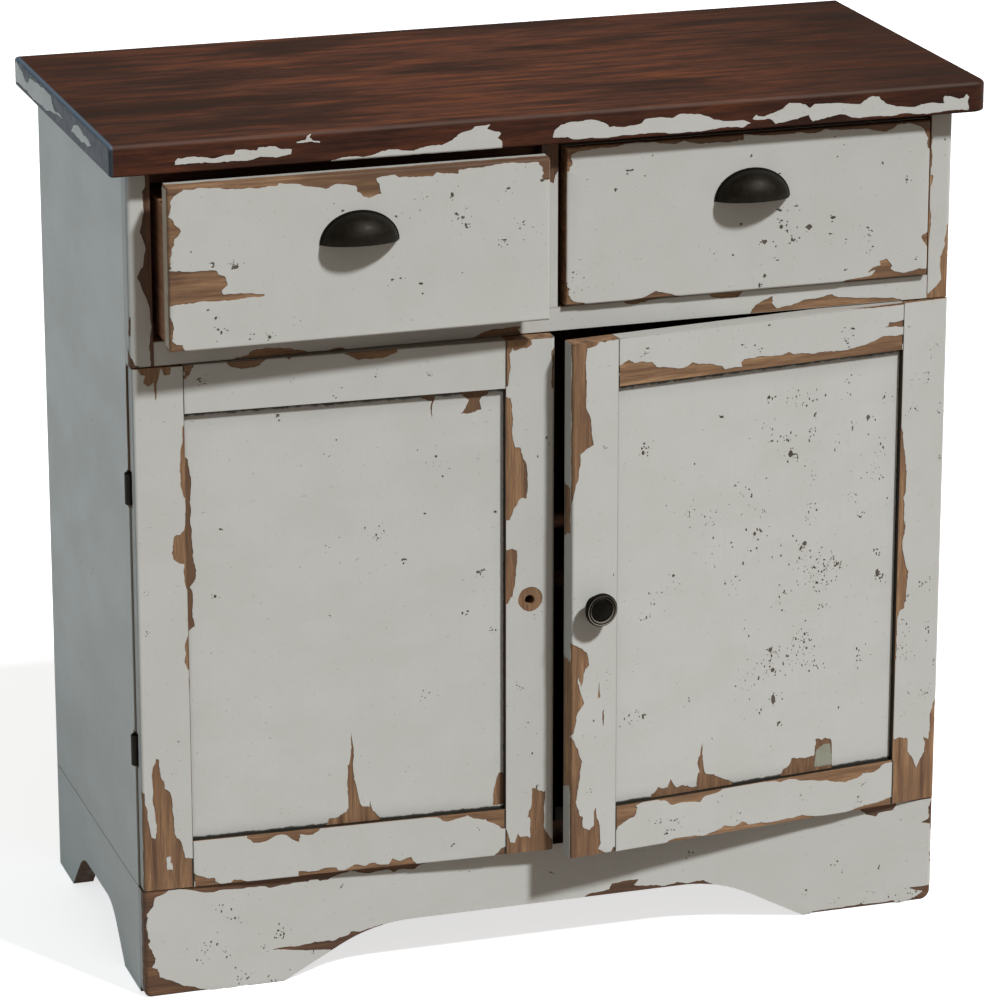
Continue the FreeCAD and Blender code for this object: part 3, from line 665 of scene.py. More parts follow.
def scramble(i: np.ndarray, j: np.ndarray, seed: int) -> np.ndarray:
    """A random-looking value, -1 to 1, for each pair of whole numbers.

    Args:
        i: first whole numbers.
        j: second whole numbers.
        seed: what tells one pattern from another.

    Returns:
        The values.
    """
    n = i.astype(np.uint32) * np.uint32(374761393) + j.astype(np.uint32) * np.uint32(668265263)
    n = n + np.uint32(seed * 362437 + 12345)
    n = (n ^ (n >> np.uint32(13))) * np.uint32(1274126177)
    n = n ^ (n >> np.uint32(16))
    return n.astype(np.float64) / 2**31 - 1.0


def clouds(u: np.ndarray, v: np.ndarray, seed: int) -> np.ndarray:
    """Smooth random values, -1 to 1, that change over about one unit.

    Args:
        u: places across.
        v: places along.
        seed: what tells one pattern from another.

    Returns:
        The values.
    """
    i, j = np.floor(u), np.floor(v)
    a, b = u - i, v - j
    a, b = a * a * (3 - 2 * a), b * b * (3 - 2 * b)
    i, j = i.astype(np.int64), j.astype(np.int64)
    low = scramble(i, j, seed) * (1 - a) + scramble(i + 1, j, seed) * a
    high = scramble(i, j + 1, seed) * (1 - a) + scramble(i + 1, j + 1, seed) * a
    return low * (1 - b) + high * b


def inside_by(outline: Outline, u: np.ndarray, v: np.ndarray) -> np.ndarray:
    """How far each place is inside an outline, below 0 where it is outside.

    Args:
        outline: the corners.
        u: places across.
        v: places along.

    Returns:
        The distance to the outline, with its sign.
    """
    gap = np.full(u.shape, np.inf)
    within = np.zeros(u.shape, bool)
    for (x0, y0), (x1, y1) in zip(outline, outline[1:] + outline[:1]):
        run = (x1 - x0) ** 2 + (y1 - y0) ** 2
        share = np.clip(((u - x0) * (x1 - x0) + (v - y0) * (y1 - y0)) / max(run, TINY), 0, 1)
        gap = np.minimum(gap, np.hypot(u - x0 - share * (x1 - x0), v - y0 - share * (y1 - y0)))
        if y0 != y1:
            crosses = (v < max(y0, y1)) & (v >= min(y0, y1))
            within ^= crosses & (u < x0 + (v - y0) * (x1 - x0) / (y1 - y0))
    return np.where(within, gap, -gap)


def window(places: Grid, low: Sequence[float], high: Sequence[float]) -> Optional[tuple[slice, slice]]:
    """The part of a grid between two corners.

    Args:
        places: the grid's places across and along.
        low: the lower corner.
        high: the upper corner.

    Returns:
        The rows and columns, or None where the grid has none there.
    """
    u, v = places[0][0], places[1][:, 0]
    cols = np.flatnonzero((u >= low[0]) & (u <= high[0]))
    rows = np.flatnonzero((v >= low[1]) & (v <= high[1]))
    if not len(cols) or not len(rows):
        return None
    return np.s_[rows[0] : rows[-1] + 1, cols[0] : cols[-1] + 1]


@dataclass(frozen=True)
class Edge:
    """How a coat ends at a long edge of a board.

    A coat with a wrap goes round the edge and on over the next face. One without stops short of it.
    """

    SHARPEST = 0.8
    BROAD = 1.0
    STEPS = 3
    BROAD_STEPS = 5
    LEAD = 0.5

    radius: float = 0.0
    wrap: Optional[float] = None
    worn: float = 2.0
    short: float = 0.4

    @property
    def bend(self) -> float:
        """Radius of the turn round the edge."""
        return max(self.radius, self.SHARPEST)

    @property
    def past(self) -> float:
        """How far the coat runs on beyond the flat of the face."""
        return self.radius - self.short if self.wrap is None else self.bend * math.pi / 2 + self.wrap

    def bends(self) -> list[float]:
        """Distances beyond the flat at which the coat's surface turns.

        Returns:
            The distances, from the flat outward.
        """
        if self.wrap is None:
            return []
        steps = self.BROAD_STEPS if self.radius > self.BROAD else self.STEPS
        turn = self.bend * math.pi / 2
        return [-self.LEAD, *[turn * k / steps for k in range(steps + 1)], turn + self.LEAD]


@dataclass(frozen=True)
class Specks:
    """Pinhole chips: some spread over the whole face, some in clusters of place, spread and count.

    Nicks are larger single ones, each with its place and its half width and length.
    """

    SPREAD = 0.9
    CROWD = 1.8
    SIZES = (-0.5, 0.4)
    LENGTHS = (0.8, 1.9)
    LARGEST = 0.95

    count: int = 0
    clusters: Rows = ()
    size: float = 0.7
    nicks: Rows = ()

    def places(self, across: Span, along: Span, seed: int) -> np.ndarray:
        """Place and size of each speck, in rows.

        Args:
            across: the face's reach across.
            along: its reach along.
            seed: what the draws start from.

        Returns:
            Rows of place across, place along, half width and half length.
        """
        draw = np.random.default_rng(seed)
        rows = [np.column_stack([draw.uniform(*across, self.count), draw.uniform(*along, self.count)])]
        for u, v, spread, count in self.clusters:
            rows.append(draw.normal((u, v), spread * self.SPREAD, (round(count * self.CROWD), 2)))
        spots = np.vstack(rows)
        half = np.minimum(self.size * draw.lognormal(*self.SIZES, len(spots)), self.LARGEST)
        drawn = np.column_stack([spots, half, half * draw.uniform(*self.LENGTHS, len(spots))])
        return np.vstack([drawn, *self.nicks])


def fours(*numbers: float) -> Rows:
    """Rows of four from numbers written one after the other."""
    return tuple(zip(*[iter(numbers)] * 4))


def specks(count: int, *numbers: float, size: float = 0.75, nicks: Rows = ()) -> Specks:
    """Pinhole chips, with each cluster's place, spread and count written one after the other."""
    return Specks(count, fours(*numbers), size, nicks)


@dataclass
class Coat:
    """A thin coat of paint on one face of a board, with chips through it."""

    SUNK = -0.05
    STEP = 0.55
    FULL = 4.0
    PIT_LIFT = 0.12
    PIT_REACH = 0.8
    PIT_RAGGED = 0.35
    PIT_GRAIN = 1.1
    PIT_UNDER = 0.3
    PIT_ROOM = 2
    PIT_SEED = 21
    CHIP_ROOM = 8.0
    WEAR = ((46, 0.9), (7, 0.45))
    WEAR_SEEDS = (5, 7, 9, 11)
    SEED_STEP = 13
    HELD = 0.5
    DRIFT_ALONG = ((1.5, 11, 4.5), (0.7, 4, 1.9))
    DRIFT_ACROSS = ((0.9, 9, 5), (0.45, 3, 2))
    RING_DRIFT = 0.3
    FLOOR_GAP = 0.2
    APART = 317.0
    END_ANGLES = (0, 30, 55, 75)

    name: str
    body: str
    facing: Facing
    plane: float
    across: Span
    along: Span
    seed: int
    low: Edge = Edge()
    high: Edge = Edge()
    end_radius: float = 0.0
    end_short: float = 0.4
    end_worn: float = 1.5
    chips: tuple[Outline, ...] = ()
    flakes: tuple[Outline, ...] = ()
    rings: tuple[Triple, ...] = ()
    specks: Specks = Specks()
    painted: bool = True
    level_grain: bool = False
    floor_line: Optional[Callable[[np.ndarray], np.ndarray]] = None
    finish: Paint = OFF_WHITE
    lift: float = 0.5

    def reach(self) -> Range:
        """The coat's lowest and highest places across and along.

        Returns:
            Lowest and highest across, then lowest and highest along.
        """
        u0 = self.across[0] + self.low.radius - self.low.past
        u1 = self.across[1] - self.high.radius + self.high.past
        return u0, u1, self.along[0] + self.end_short, self.along[1] - self.end_short

    def worn_width(self, place: np.ndarray, most: float, seed: int) -> np.ndarray:
        """Width of the wear along an edge, below 0 where the paint holds.

        Args:
            place: places along the edge.
            most: about the widest wear.
            seed: what tells one edge from another.

        Returns:
            The widths.
        """
        level = np.full_like(place, 0.5)
        broad, fine = (
            share * clouds(place / length, level, seed + k) for k, (length, share) in enumerate(self.WEAR)
        )
        return most * (broad + fine - self.HELD)

    def field(self, u: np.ndarray, v: np.ndarray) -> np.ndarray:
        """How far each place is inside the paint.

        Args:
            u: places across.
            v: places along.

        Returns:
            Millimetres of paint margin, below 0 where the wood is bare.
        """
        g, c = (u, v) if self.level_grain else (v, u)
        drift_g, drift_c = (
            sum(size * clouds(g / a, c / b, seed + k) for k, (size, a, b) in enumerate(waves))
            for seed, waves in ((self.seed, self.DRIFT_ALONG), (self.seed + 2, self.DRIFT_ACROSS))
        )
        du, dv = (drift_g, drift_c) if self.level_grain else (drift_c, drift_g)
        places, drifted = (u, v), (u + du, v + dv)
        margin = np.full(u.shape, self.FULL if self.painted else -self.FULL)
        for outline in self.chips:
            self.cut(margin, outline, places, drifted, -1.0)
        for outline in self.flakes:
            self.cut(margin, outline, places, drifted, 1.0)
        for cu, cv, radius in self.rings:
            out = np.hypot(u + self.RING_DRIFT * du - cu, v + self.RING_DRIFT * dv - cv)
            margin = np.minimum(margin, out - radius)
        if self.painted:
            seeds = [self.seed * self.SEED_STEP + k for k in self.WEAR_SEEDS]
            edges = ((self.low, self.across[0], -1), (self.high, self.across[1], 1))
            for (edge, corner, sign), seed in zip(edges, seeds):
                turn = 0 if edge.wrap is None else edge.bend * math.pi / 4
                middle = corner - sign * (edge.radius - turn)
                margin = np.minimum(margin, np.abs(u - middle) - self.worn_width(v, edge.worn, seed))
            for end, seed in zip(self.along, seeds[2:]):
                margin = np.minimum(margin, np.abs(v - end) - self.worn_width(u, self.end_worn, seed))
        if self.floor_line is not None:
            margin = np.minimum(margin, v - self.floor_line(u) - self.FLOOR_GAP)
        return margin

    def cut(self, margin: np.ndarray, outline: Outline, places: Grid, drifted: Grid, sign: float) -> None:
        """Takes a chip out of the paint, or puts a flake back.

        Args:
            margin: the paint's margin, changed in place.
            outline: the chip's corners.
            places: places across and along.
            drifted: the same, moved a little along the grain.
            sign: -1 for a chip, 1 for a flake.
        """
        low, high = np.min(outline, axis=0), np.max(outline, axis=0)
        part = window(places, low - self.CHIP_ROOM, high + self.CHIP_ROOM)
        if part is None:
            return
        inside = sign * inside_by(outline, drifted[0][part], drifted[1][part])
        margin[part] = np.minimum(margin[part], inside) if sign < 0 else np.maximum(margin[part], inside)

    def pits(self, u: np.ndarray, v: np.ndarray) -> np.ndarray:
        """How far each place is from the nearest pinhole, below 0 inside one.

        Args:
            u: places across.
            v: places along.

        Returns:
            The distances.
        """
        margin = np.full(u.shape, self.FULL)
        for cu, cv, ru, rv in self.specks.places(self.across, self.along, self.seed):
            at, room = np.array((cu, cv)), np.array((ru, rv)) + self.PIT_ROOM
            part = window((u, v), at - room, at + room)
            if part is None:
                continue
            gap = (np.hypot((u[part] - cu) / ru, (v[part] - cv) / rv) - 1) * ru
            ragged = clouds(u[part] / self.PIT_GRAIN, v[part] / self.PIT_GRAIN, self.seed + self.PIT_SEED)
            margin[part] = np.minimum(margin[part], gap + self.PIT_RAGGED * ragged)
        return margin

    def section(self, u: np.ndarray, lift: float) -> tuple[np.ndarray, np.ndarray]:
        """Where the coat lies across the board and out from its face.

        Args:
            u: places across, run on round the edges.
            lift: height over the wood.

        Returns:
            The place across and the distance out.
        """
        s, out = u.copy(), np.full_like(u, lift)
        edges = ((self.low, self.across[0], -1.0), (self.high, self.across[1], 1.0))
        for edge, corner, sign in edges:
            if edge.wrap is None:
                continue
            start = corner - sign * edge.radius
            past = sign * (u - start)
            angle = np.clip(past / edge.bend, 0, math.pi / 2)
            reach = edge.radius + lift
            side = np.maximum(past - edge.bend * math.pi / 2, 0)
            s = np.where(past > 0, start + sign * reach * np.sin(angle), s)
            out = np.where(past > 0, reach * np.cos(angle) - edge.radius - side, out)
        return s, out

    def place(self, u: np.ndarray, v: np.ndarray, lift: float) -> np.ndarray:
        """Points of the coat in space, in millimetres.

        Args:
            u: places across.
            v: places along.
            lift: height over the wood.

        Returns:
            The points, in rows.
        """
        s, out = self.section(u, lift)
        if self.end_radius:
            r = self.end_radius
            for end, sign in ((self.along[0], -1.0), (self.along[1], 1.0)):
                past = np.clip(sign * (v - end) + r, 0, r)
                out = out - (r - np.sqrt(np.maximum(r * r - past * past, 0)))
        across, along, outward = (np.array(d, float) for d in self.facing.value)
        start = self.plane * np.abs(outward)
        return start + np.outer(s, across) + np.outer(v, along) + np.outer(out, outward)

    def build(self, move: Optional[Move] = None) -> bpy.types.Object:
        """Makes the coat and sets it on its board.

        Args:
            move: what takes a closed door or drawer to where it stands.

        Returns:
            The piece.
        """
        u0, u1, v0, v1 = self.reach()
        us = np.linspace(u0, u1, max(4, round((u1 - u0) / self.STEP) + 1))
        vs = np.linspace(v0, v1, max(4, round((v1 - v0) / self.STEP) + 1))
        u, v = np.meshgrid(us, vs)
        paint, pits = self.field(u, v), self.pits(u, v)
        layers = [self.layer(np.minimum(paint, pits), us, vs, self.lift)]
        floors = np.minimum(self.PIT_REACH - pits, paint + self.PIT_UNDER)
        if self.painted and floors.max() > 0:
            layers.append(self.layer(floors, us, vs, self.PIT_LIFT))
        if move is not None:
            layers = [(points, move(corners), faces) for points, corners, faces in layers]
        piece = sheet_mesh(self.name, [(corners * MM, faces) for _, corners, faces in layers])
        self.mark(piece.data, np.vstack([np.vstack([points, points]) for points, _, _ in layers]))
        for finish in (self.finish, PIT)[: len(layers)]:
            piece.data.materials.append(finish.material())
        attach(piece, self.body)
        LOG.info("%s: %d faces on %s", self.name, len(piece.data.polygons), self.body)
        return piece

    def layer(
        self, margin: np.ndarray, us: np.ndarray, vs: np.ndarray, lift: float
    ) -> tuple[np.ndarray, ...]:
        """One layer of the coat.

        Args:
            margin: the layer's margin on a grid.
            us: the grid's places across.
            vs: its places along.
            lift: the layer's height over the wood.

        Returns:
            Places on the board, upper and lower corners in space, and triangles of the upper side.
        """
        points, edges = outlines(margin, us, vs)
        bends_u = [self.across[0] + self.low.radius - b for b in self.low.bends()]
        bends_u += [self.across[1] - self.high.radius + b for b in self.high.bends()]
        bends_v = []
        if self.end_radius:
            turns = [self.end_radius * (1 - math.sin(math.radians(a))) for a in self.END_ANGLES]
            bends_v = [self.along[0] + t for t in turns] + [self.along[1] - t for t in turns]
        points, faces = triangles(points, edges, self.reach(), bends_u, bends_v)
        middle = points[faces].mean(1)
        faces = faces[sample(margin, us, vs, middle[:, 0], middle[:, 1]) > 0]
        across, along, outward = (Vector(d) for d in self.facing.value)
        if across.cross(along).dot(outward) < 0:
            faces = faces[:, ::-1]
        used, faces = np.unique(faces, return_inverse=True)
        points = points[used]
        top = self.place(points[:, 0], points[:, 1], lift)
        under = self.place(points[:, 0], points[:, 1], self.SUNK)
        return points, np.vstack([top, under]), faces.reshape(-1, 3)

    def mark(self, mesh: bpy.types.Mesh, points: np.ndarray) -> None:
        """Writes each corner's place on the board and its distance from the board's rims.

        Args:
            mesh: the coat's mesh.
            points: its corners' places across and along, in rows.
        """
        low, high, start, end = self.across[0], self.across[1], self.along[0], self.along[1]
        u, v = points[:, 0], points[:, 1]
        board = np.column_stack([u + self.seed * self.APART, v, end - v])
        rim = np.column_stack([u - low, high - u, v - start])
        for name, rows in (("board", board), ("rim", rim)):
            layer = mesh.attributes.new(name, "FLOAT_VECTOR", "POINT")
            layer.data.foreach_set("vector", (rows * MM).astype(np.float32).ravel())


def outlines(margin: np.ndarray, us: np.ndarray, vs: np.ndarray) -> tuple[np.ndarray, np.ndarray]:
    """The lines along which the paint ends.

    Args:
        margin: the paint's margin on a grid.
        us: the grid's places across.
        vs: its places along.

    Returns:
        Points and the pairs of them that are joined.
    """
    wide = np.pad(margin, 1, constant_values=OUTSIDE)
    xs = np.concatenate([[2 * us[0] - us[1]], us, [2 * us[-1] - us[-2]]])
    ys = np.concatenate([[2 * vs[0] - vs[1]], vs, [2 * vs[-1] - vs[-2]]])
    full = wide > 0
    level, upright = full[:, :-1] != full[:, 1:], full[:-1] != full[1:]
    level_id = np.full(level.shape, -1)
    level_id[level] = np.arange(level.sum())
    upright_id = np.full(upright.shape, -1)
    upright_id[upright] = level.sum() + np.arange(upright.sum())
    i, j = np.nonzero(level)
    share = wide[i, j] / (wide[i, j] - wide[i, j + 1])
    first = np.column_stack([xs[j] + share * (xs[j + 1] - xs[j]), ys[i]])
    i, j = np.nonzero(upright)
    share = wide[i, j] / (wide[i, j] - wide[i + 1, j])
    second = np.column_stack([xs[j], ys[i] + share * (ys[i + 1] - ys[i])])
    a, b, c, d = full[:-1, :-1], full[:-1, 1:], full[1:, 1:], full[1:, :-1]
    kind = a + 2 * b + 4 * c + 8 * d
    sides = {"s": level_id[:-1], "n": level_id[1:], "w": upright_id[:, :-1], "e": upright_id[:, 1:]}
    joins = {
        "ws": (1, 14, 5), "se": (2, 13, 10), "we": (3, 12), "en": (4, 11, 5), "sn": (6, 9), "wn": (7, 8, 10)
    }
    pairs = []
    for (one, other), kinds in joins.items():
        here = np.isin(kind, kinds)
        pairs.append(np.column_stack([sides[one][here], sides[other][here]]))
    return eased(np.vstack([first, second]), np.vstack(pairs))


def eased(points: np.ndarray, pairs: np.ndarray, slack: float = 0.06) -> tuple[np.ndarray, np.ndarray]:
    """Closed lines without the points that lie straight between their neighbours.

    Args:
        points: all points.
        pairs: joined points, two for each point.
        slack: how far a point may be off the straight to be left out.

    Returns:
        The points that stay and their pairs.
    """
    beside: dict[int, list[int]] = {}
    for a, b in pairs.tolist():
        beside.setdefault(a, []).append(b)
        beside.setdefault(b, []).append(a)
    kept, joined, seen, total = [], [], set(), 0
    for start in beside:
        if start in seen:
            continue
        loop, at, last = [], start, -1
        while at not in seen:
            seen.add(at)
            loop.append(at)
            ways = [n for n in beside[at] if n != last]
            last, at = at, ways[0] if ways else at
        line = points[loop]
        for turn in range(EASE_ROUNDS):
            if len(line) < EASE_FEWEST:
                break
            before, after = np.roll(line, 1, 0), np.roll(line, -1, 0)
            run = after - before
            off = np.abs(run[:, 0] * (line - before)[:, 1] - run[:, 1] * (line - before)[:, 0])
            off = off / np.maximum(np.hypot(run[:, 0], run[:, 1]), TINY)
            drop = (off < slack) & (np.arange(len(line)) % 2 == turn % 2)
            line = line[~drop]
        if len(line) < 3:
            continue
        order = np.arange(len(line)) + total
        kept.append(line)
        joined.append(np.column_stack([order, np.roll(order, -1)]))
        total += len(line)
    return np.vstack(kept), np.vstack(joined)


def triangles(
    points: np.ndarray, edges: np.ndarray, limits: Sequence[float],
    bends_u: list[float], bends_v: list[float],
) -> tuple[np.ndarray, np.ndarray]:
    """A flat net of triangles with the given lines in it.

    Args:
        points: the paint's outline points.
        edges: pairs of them that are joined.
        limits: lowest and highest places across and along.
        bends_u: places across where the surface turns.
        bends_v: places along where it turns.

    Returns:
        All points and the triangles between them.
    """
    u0, u1, v0, v1 = limits
    corners = [Vector(p) for p in points]
    lines = edges.tolist()
    spans = [((b, v0), (b, v1)) for b in bends_u if u0 < b < u1]
    spans += [((u0, b), (u1, b)) for b in bends_v if v0 < b < v1]
    for first, second in spans:
        lines.append((len(corners), len(corners) + 1))
        corners += [Vector(first), Vector(second)]
    found = delaunay_2d_cdt(corners, lines, [], WHOLE_NET, SAME_POINT, False)
    return np.array([tuple(p) for p in found[0]]), np.array(found[2])


def sample(
    values: np.ndarray, us: np.ndarray, vs: np.ndarray, u: np.ndarray, v: np.ndarray
) -> np.ndarray:
    """Values between a grid's points.

    Args:
        values: the grid's values.
        us: the grid's places across.
        vs: its places along.
        u: places across to read at.
        v: places along to read at.

    Returns:
        The values there.
    """
    x = np.clip((u - us[0]) / (us[1] - us[0]), 0, len(us) - LAST_CELL)
    y = np.clip((v - vs[0]) / (vs[1] - vs[0]), 0, len(vs) - LAST_CELL)
    j, i = x.astype(int), y.astype(int)
    a, b = x - j, y - i
    low = values[i, j] * (1 - a) + values[i, j + 1] * a
    return low * (1 - b) + (values[i + 1, j] * (1 - a) + values[i + 1, j + 1] * a) * b


def stand(name: str, data: bpy.types.ID) -> bpy.types.Object:
    """A new object in the scene.

    Args:
        name: the object's name.
        data: its mesh, light or camera.

    Returns:
        The object.
    """
    made = bpy.data.objects.new(name, data)
    bpy.context.scene.collection.objects.link(made)
    return made


def sheet_mesh(name: str, layers: Sequence[tuple[np.ndarray, np.ndarray]]) -> bpy.types.Object:
    """Closed thin sheets, one over the other, as one piece.

    Args:
        name: the piece's name.
        layers: for each sheet its upper corners, the lower ones in the same order, and its triangles.

    Returns:
        The piece, with each sheet's faces on a material of its own.
    """
    corners, faces, kinds, total = [], [], [], 0
    for kind, (places, upper) in enumerate(layers):
        count = len(places) // 2
        sides = np.vstack([upper[:, [0, 1]], upper[:, [1, 2]], upper[:, [2, 0]]])
        _, first, times = np.unique(np.sort(sides, 1), axis=0, return_index=True, return_counts=True)
        rim = sides[first[times == 1]]
        walls = np.column_stack([rim[:, 1], rim[:, 0], rim[:, 0] + count, rim[:, 1] + count])
        rows = (upper + total).tolist() + (upper[:, ::-1] + count + total).tolist()
        rows += (walls + total).tolist()
        corners.append(places)
        faces += rows
        kinds += [kind] * len(rows)
        total += 2 * count
    mesh = bpy.data.meshes.new(name)
    mesh.from_pydata(np.vstack(corners).tolist(), [], faces)
    mesh.polygons.foreach_set("material_index", kinds)
    mesh.shade_smooth()
    mesh.set_sharp_from_angle(angle=math.radians(SHARP_DEG))
    return stand(name, mesh)


# Where the paint is gone, or where its last flakes are, drawn board by board. Each outline starts at a
# place across and along its board, with the board shut.
LEFT_DOOR_CHIPS: dict[str, tuple[Outline, ...]] = {
    "hinge_stile": (
        chip(-396, 622, 5, -8, 5, -3, -3, -6, 5, -4, 5, 3, 2, -17, 2, 17, 3, 14, 3, -7, 6, 1, 2, 10),
        chip(-349, 567, -4, -7, 0, -15, -2, -10, -1, -30, 3, -11, 4, 0),
        chip(-349, 494, -3, -14, 0, -14, -5, -8, -6, -1, 0, -8, -2, -7, 2, -9, 4, -3, 6, 0, -1, -18,
            2, -6, 3, -2),
        chip(-349, 372, -2, -12, -3, -10, -1, -17, 2, -7, 4, -4),
        chip(-399, 210, 3, -5, 2, -15, 2, -18, 1, -10, 5, 0, 0, 16, -2, 22, -1, 22, 1, 10, 3, 4, 1, 6,
            2, -2, 2, -18, 4, -4, 0, -9, 5, -4, 1, -15, 2, -25, 6, -9, 3, -16, 7, -2, 2, -2, 0, -30,
            -50, 0),
    ),
    "lock_stile": (
        chip(-47, 622, 44, 0, -19, -5, 0, -5, -16, -4, -2, 4, -3, -7, 1, -15, -2, -15, -3, 0),
        chip(-47, 566, 5, -2, 2, -19, -1, -15, 3, -13, 5, -1, 2, -8, 5, -10, 0, -32, -1, -2, -7, 0,
            -5, -8, -3, -11, -5, -2),
        chip(-47, 416, 12, -1, -1, -15, -2, -20, -3, -12, -3, -6, -3, 0),
        chip(-20, 173, 12, -4, 0, -34, 2, -7, 6, -10, 0, -12, -47, 0, 0, 29, 3, -7, 2, -9, 4, 0, 3, 9,
            2, -3, 10, 0, 1, 18, -3, 2, 4, 10),
        chip(1, 610, -3, -4, 0, -36, 3, 0),
    ),
    "top_rail": (
        chip(622, -351, -15, 1, -1, 3, 9, 3, 7, 6),
        chip(622, -312, -7, 6, -3, 10, 0, 12, 5, 7, 5, 9),
        chip(622, -258, -5, 6, 5, 6),
        chip(622, -205, -7, 10, -3, 9, -1, 14, 2, 12, 3, 8, 6, 2),
    ),
    "bottom_rail": (
        chip(157, -300, -6, 2, -4, 5, 0, 13, 4, 8, 1, 8, -5, 7, -4, 8, 8, 1, -2, 8, 0, 5, 4, 6, 4, 7),
        chip(157, -142, -2, 14, -2, 13, -5, 13, 1, 8, 3, 9, -3, 9, -2, 10, -7, 10, -6, 9, 23, 3),
        chip(106, -351, 19, 0, -5, 3, -4, 10, -1, 7, -4, 1, -2, 5, 0, 10, 3, 3, -1, 7, -3, 9, 0, 46, 6, 1,
            -2, 9, 0, 10, 3, 6, -1, 9, -4, 2, -1, 8, 6, 10, -3, 9, 2, 10, -2, 6, 0, 7, 5, 5, -4, 6, 1, 7,
            2, 5, -6, 4, -4, 6),
        chip(106, -60, 10, 8, 2, 5, -12, 1),
    ),
    "panel": (
        chip(-352, 532, 5, -4, 2, -18, -1, -40, 2, -30, 1, -12, 2, -8, -3, -12, -3, -4, 2, -4, 0, -30,
            1, -5, -5, -4, -3, -3),
        chip(-222, 153, 4, 8, 10, 2, 5, 4, 3, 5, 0, 41, 2, 0, 1, 9, 1, 25, 2, -25, 1, -22, 3, -20, 4, -10,
            8, -2, 0, 8, 2, -12, 6, -4, 5, -7),
        chip(-126, 574, 2, -6, 5, -3, 2, -1, 1, -17, 1, 17, 2, 6, 1, 4),
        chip(-90, 574, 4, -8, 6, -3, -3, -8, -5, -5, 12, 1, 8, 2, -2, 9, 8, 6, 4, 6),
        chip(-52, 190, -3, -10, -2, -10, 0, -12, 11, 0, 0, 32),
    ),
}
LEFT_DOOR_FLAKES = (
    chip(-377, 142, 5, 0, -1, -6, 2, -1, 0, -7, -5, 0, 0, 8),
)
RIGHT_DOOR_CHIPS: dict[str, tuple[Outline, ...]] = {
    "lock_stile": (
        chip(2, 622, 46, 0, -2, -4, -14, 0, -8, -4, -6, -2, -2, -12, 1, -25, 0, -20, 5, -13, 3, -23,
            -7, -2, -6, -5, -2, -17, -3, -13, -2, -12, -3, -8),
        chip(2, 328, 3, -1, 7, -7, 7, -5, 3, -12, -5, -4, -2, -9, -2, -9, -2, 11, -1, -5, 3, -15, 3, -7,
            -6, -9, -2, -11, -2, -10, -4, -3),
        chip(2, 232, 5, -6, 3, -6, 1, -6, 4, -9, -2, -7, -3, -18, -2, -15, 3, -7, 1, -6, 4, -3, 0, -9,
            6, -4, 5, 2, 1, 8, -1, 6, 3, 6, 1, -12, 3, -8, 0, -18, -2, -5, 6, -5, 6, -1, 5, 4, 2, -5,
            0, -4, -49, 0),
        chip(31, 268, 2, 2, -0.5, 15, -1, -3),
        chip(36.2, 238, 1.4, 2, -0.2, 15, -1, -3),
        chip(-14, 310, 16, -4, 0, -124, -16, -4),
        chip(-14, 482, 15, -4, 0, -44, -15, -4),
    ),
    "top_rail": (
        chip(571, 50, 22, 0, 3, 6, 2, 4, -4, 6, 0, 9, -1, 11, -6, 4, -2, 10, -2, 12, 1, 10, 3, 6, -3, 6,
            -1, 13, -3, 11, -4, 4, 1, 16, 7, 2, 0, 20, -1, 22, 2, 6, -2, 4, -2, 23, -1, 20, 1, 25, 3, 18,
            4, 9, 0, 24, -17, 0),
        chip(603, 352, -2, -17, -3, -1, -1, -4, -1, 22),
        chip(622, 290, -3, 10, -2, 35, 1, 17, 4, 0),
    ),
    "bottom_rail": (
        chip(157, 50, -29, 0, 6, 4, 5, 10, 3, 7, 11, 2, 2, 13, -3, 18, -6, 6, 1, 10, -2, 22, 4, 4, 2, 12,
            4, 8, 2, 14),
        chip(157, 200, -3, 14, -3, 14, 2, 10, -3, 12, -2, 12, -4, 18, -4, 20, 2, 12, 5, 6, -2, 12, 3, 7,
            4, 5, 1, 9, 4, 0),
        chip(106, 100, 5, 10, 0, 15, -1, 15, 1, 15, 5, 11, -2, 12, 3, 10, -4, 6, 0, 11, -2, 20, 2, 27,
            -3, 10, -2, 38, 4, 20, 1, 15, 4, 16, -11, 0),
    ),
    "panel": (
        chip(88, 153, 4, 7, 6, 3, 10, -1, 3, 9, 3, -5, 4, -4, 6, 2, 8, -4, 8, 0, 0, 12, 3, 0, -3, 10,
            1, 6, 2, 2, 2, 14, 1, -14, 2, -18, 8, -4, 14, -6, 8, -4, 2, -5),
        chip(230, 153, 4, 9, 6, 3, 3, 7, 13, -2, 12, 1, 0, 17, 17, -2, 1, -11, 1, -15, 3, -7),
    ),
    "hinge_stile": (
        chip(350, 496, 3, -6, 2, -20, 3, -20, 0, -20, -3, -5, 2, -10, -1, -13, 3, -7, -2, -10, -1, -13,
            4, -17, 3, -8, -2, -17, -1, -18, -5, -4, -3, -8, 0, -50, -2, -10),
        chip(350, 176, 7, 1, 10, -1, 1, -16, 6, -8, 4, -10, 4, 10, 4, 6, 1, 10, -2, 8, 5, -6, 2, 15,
            -1, 10, 4, 13, 3, 10, 2, 0, 0, -112, -50, 0),
    ),
}
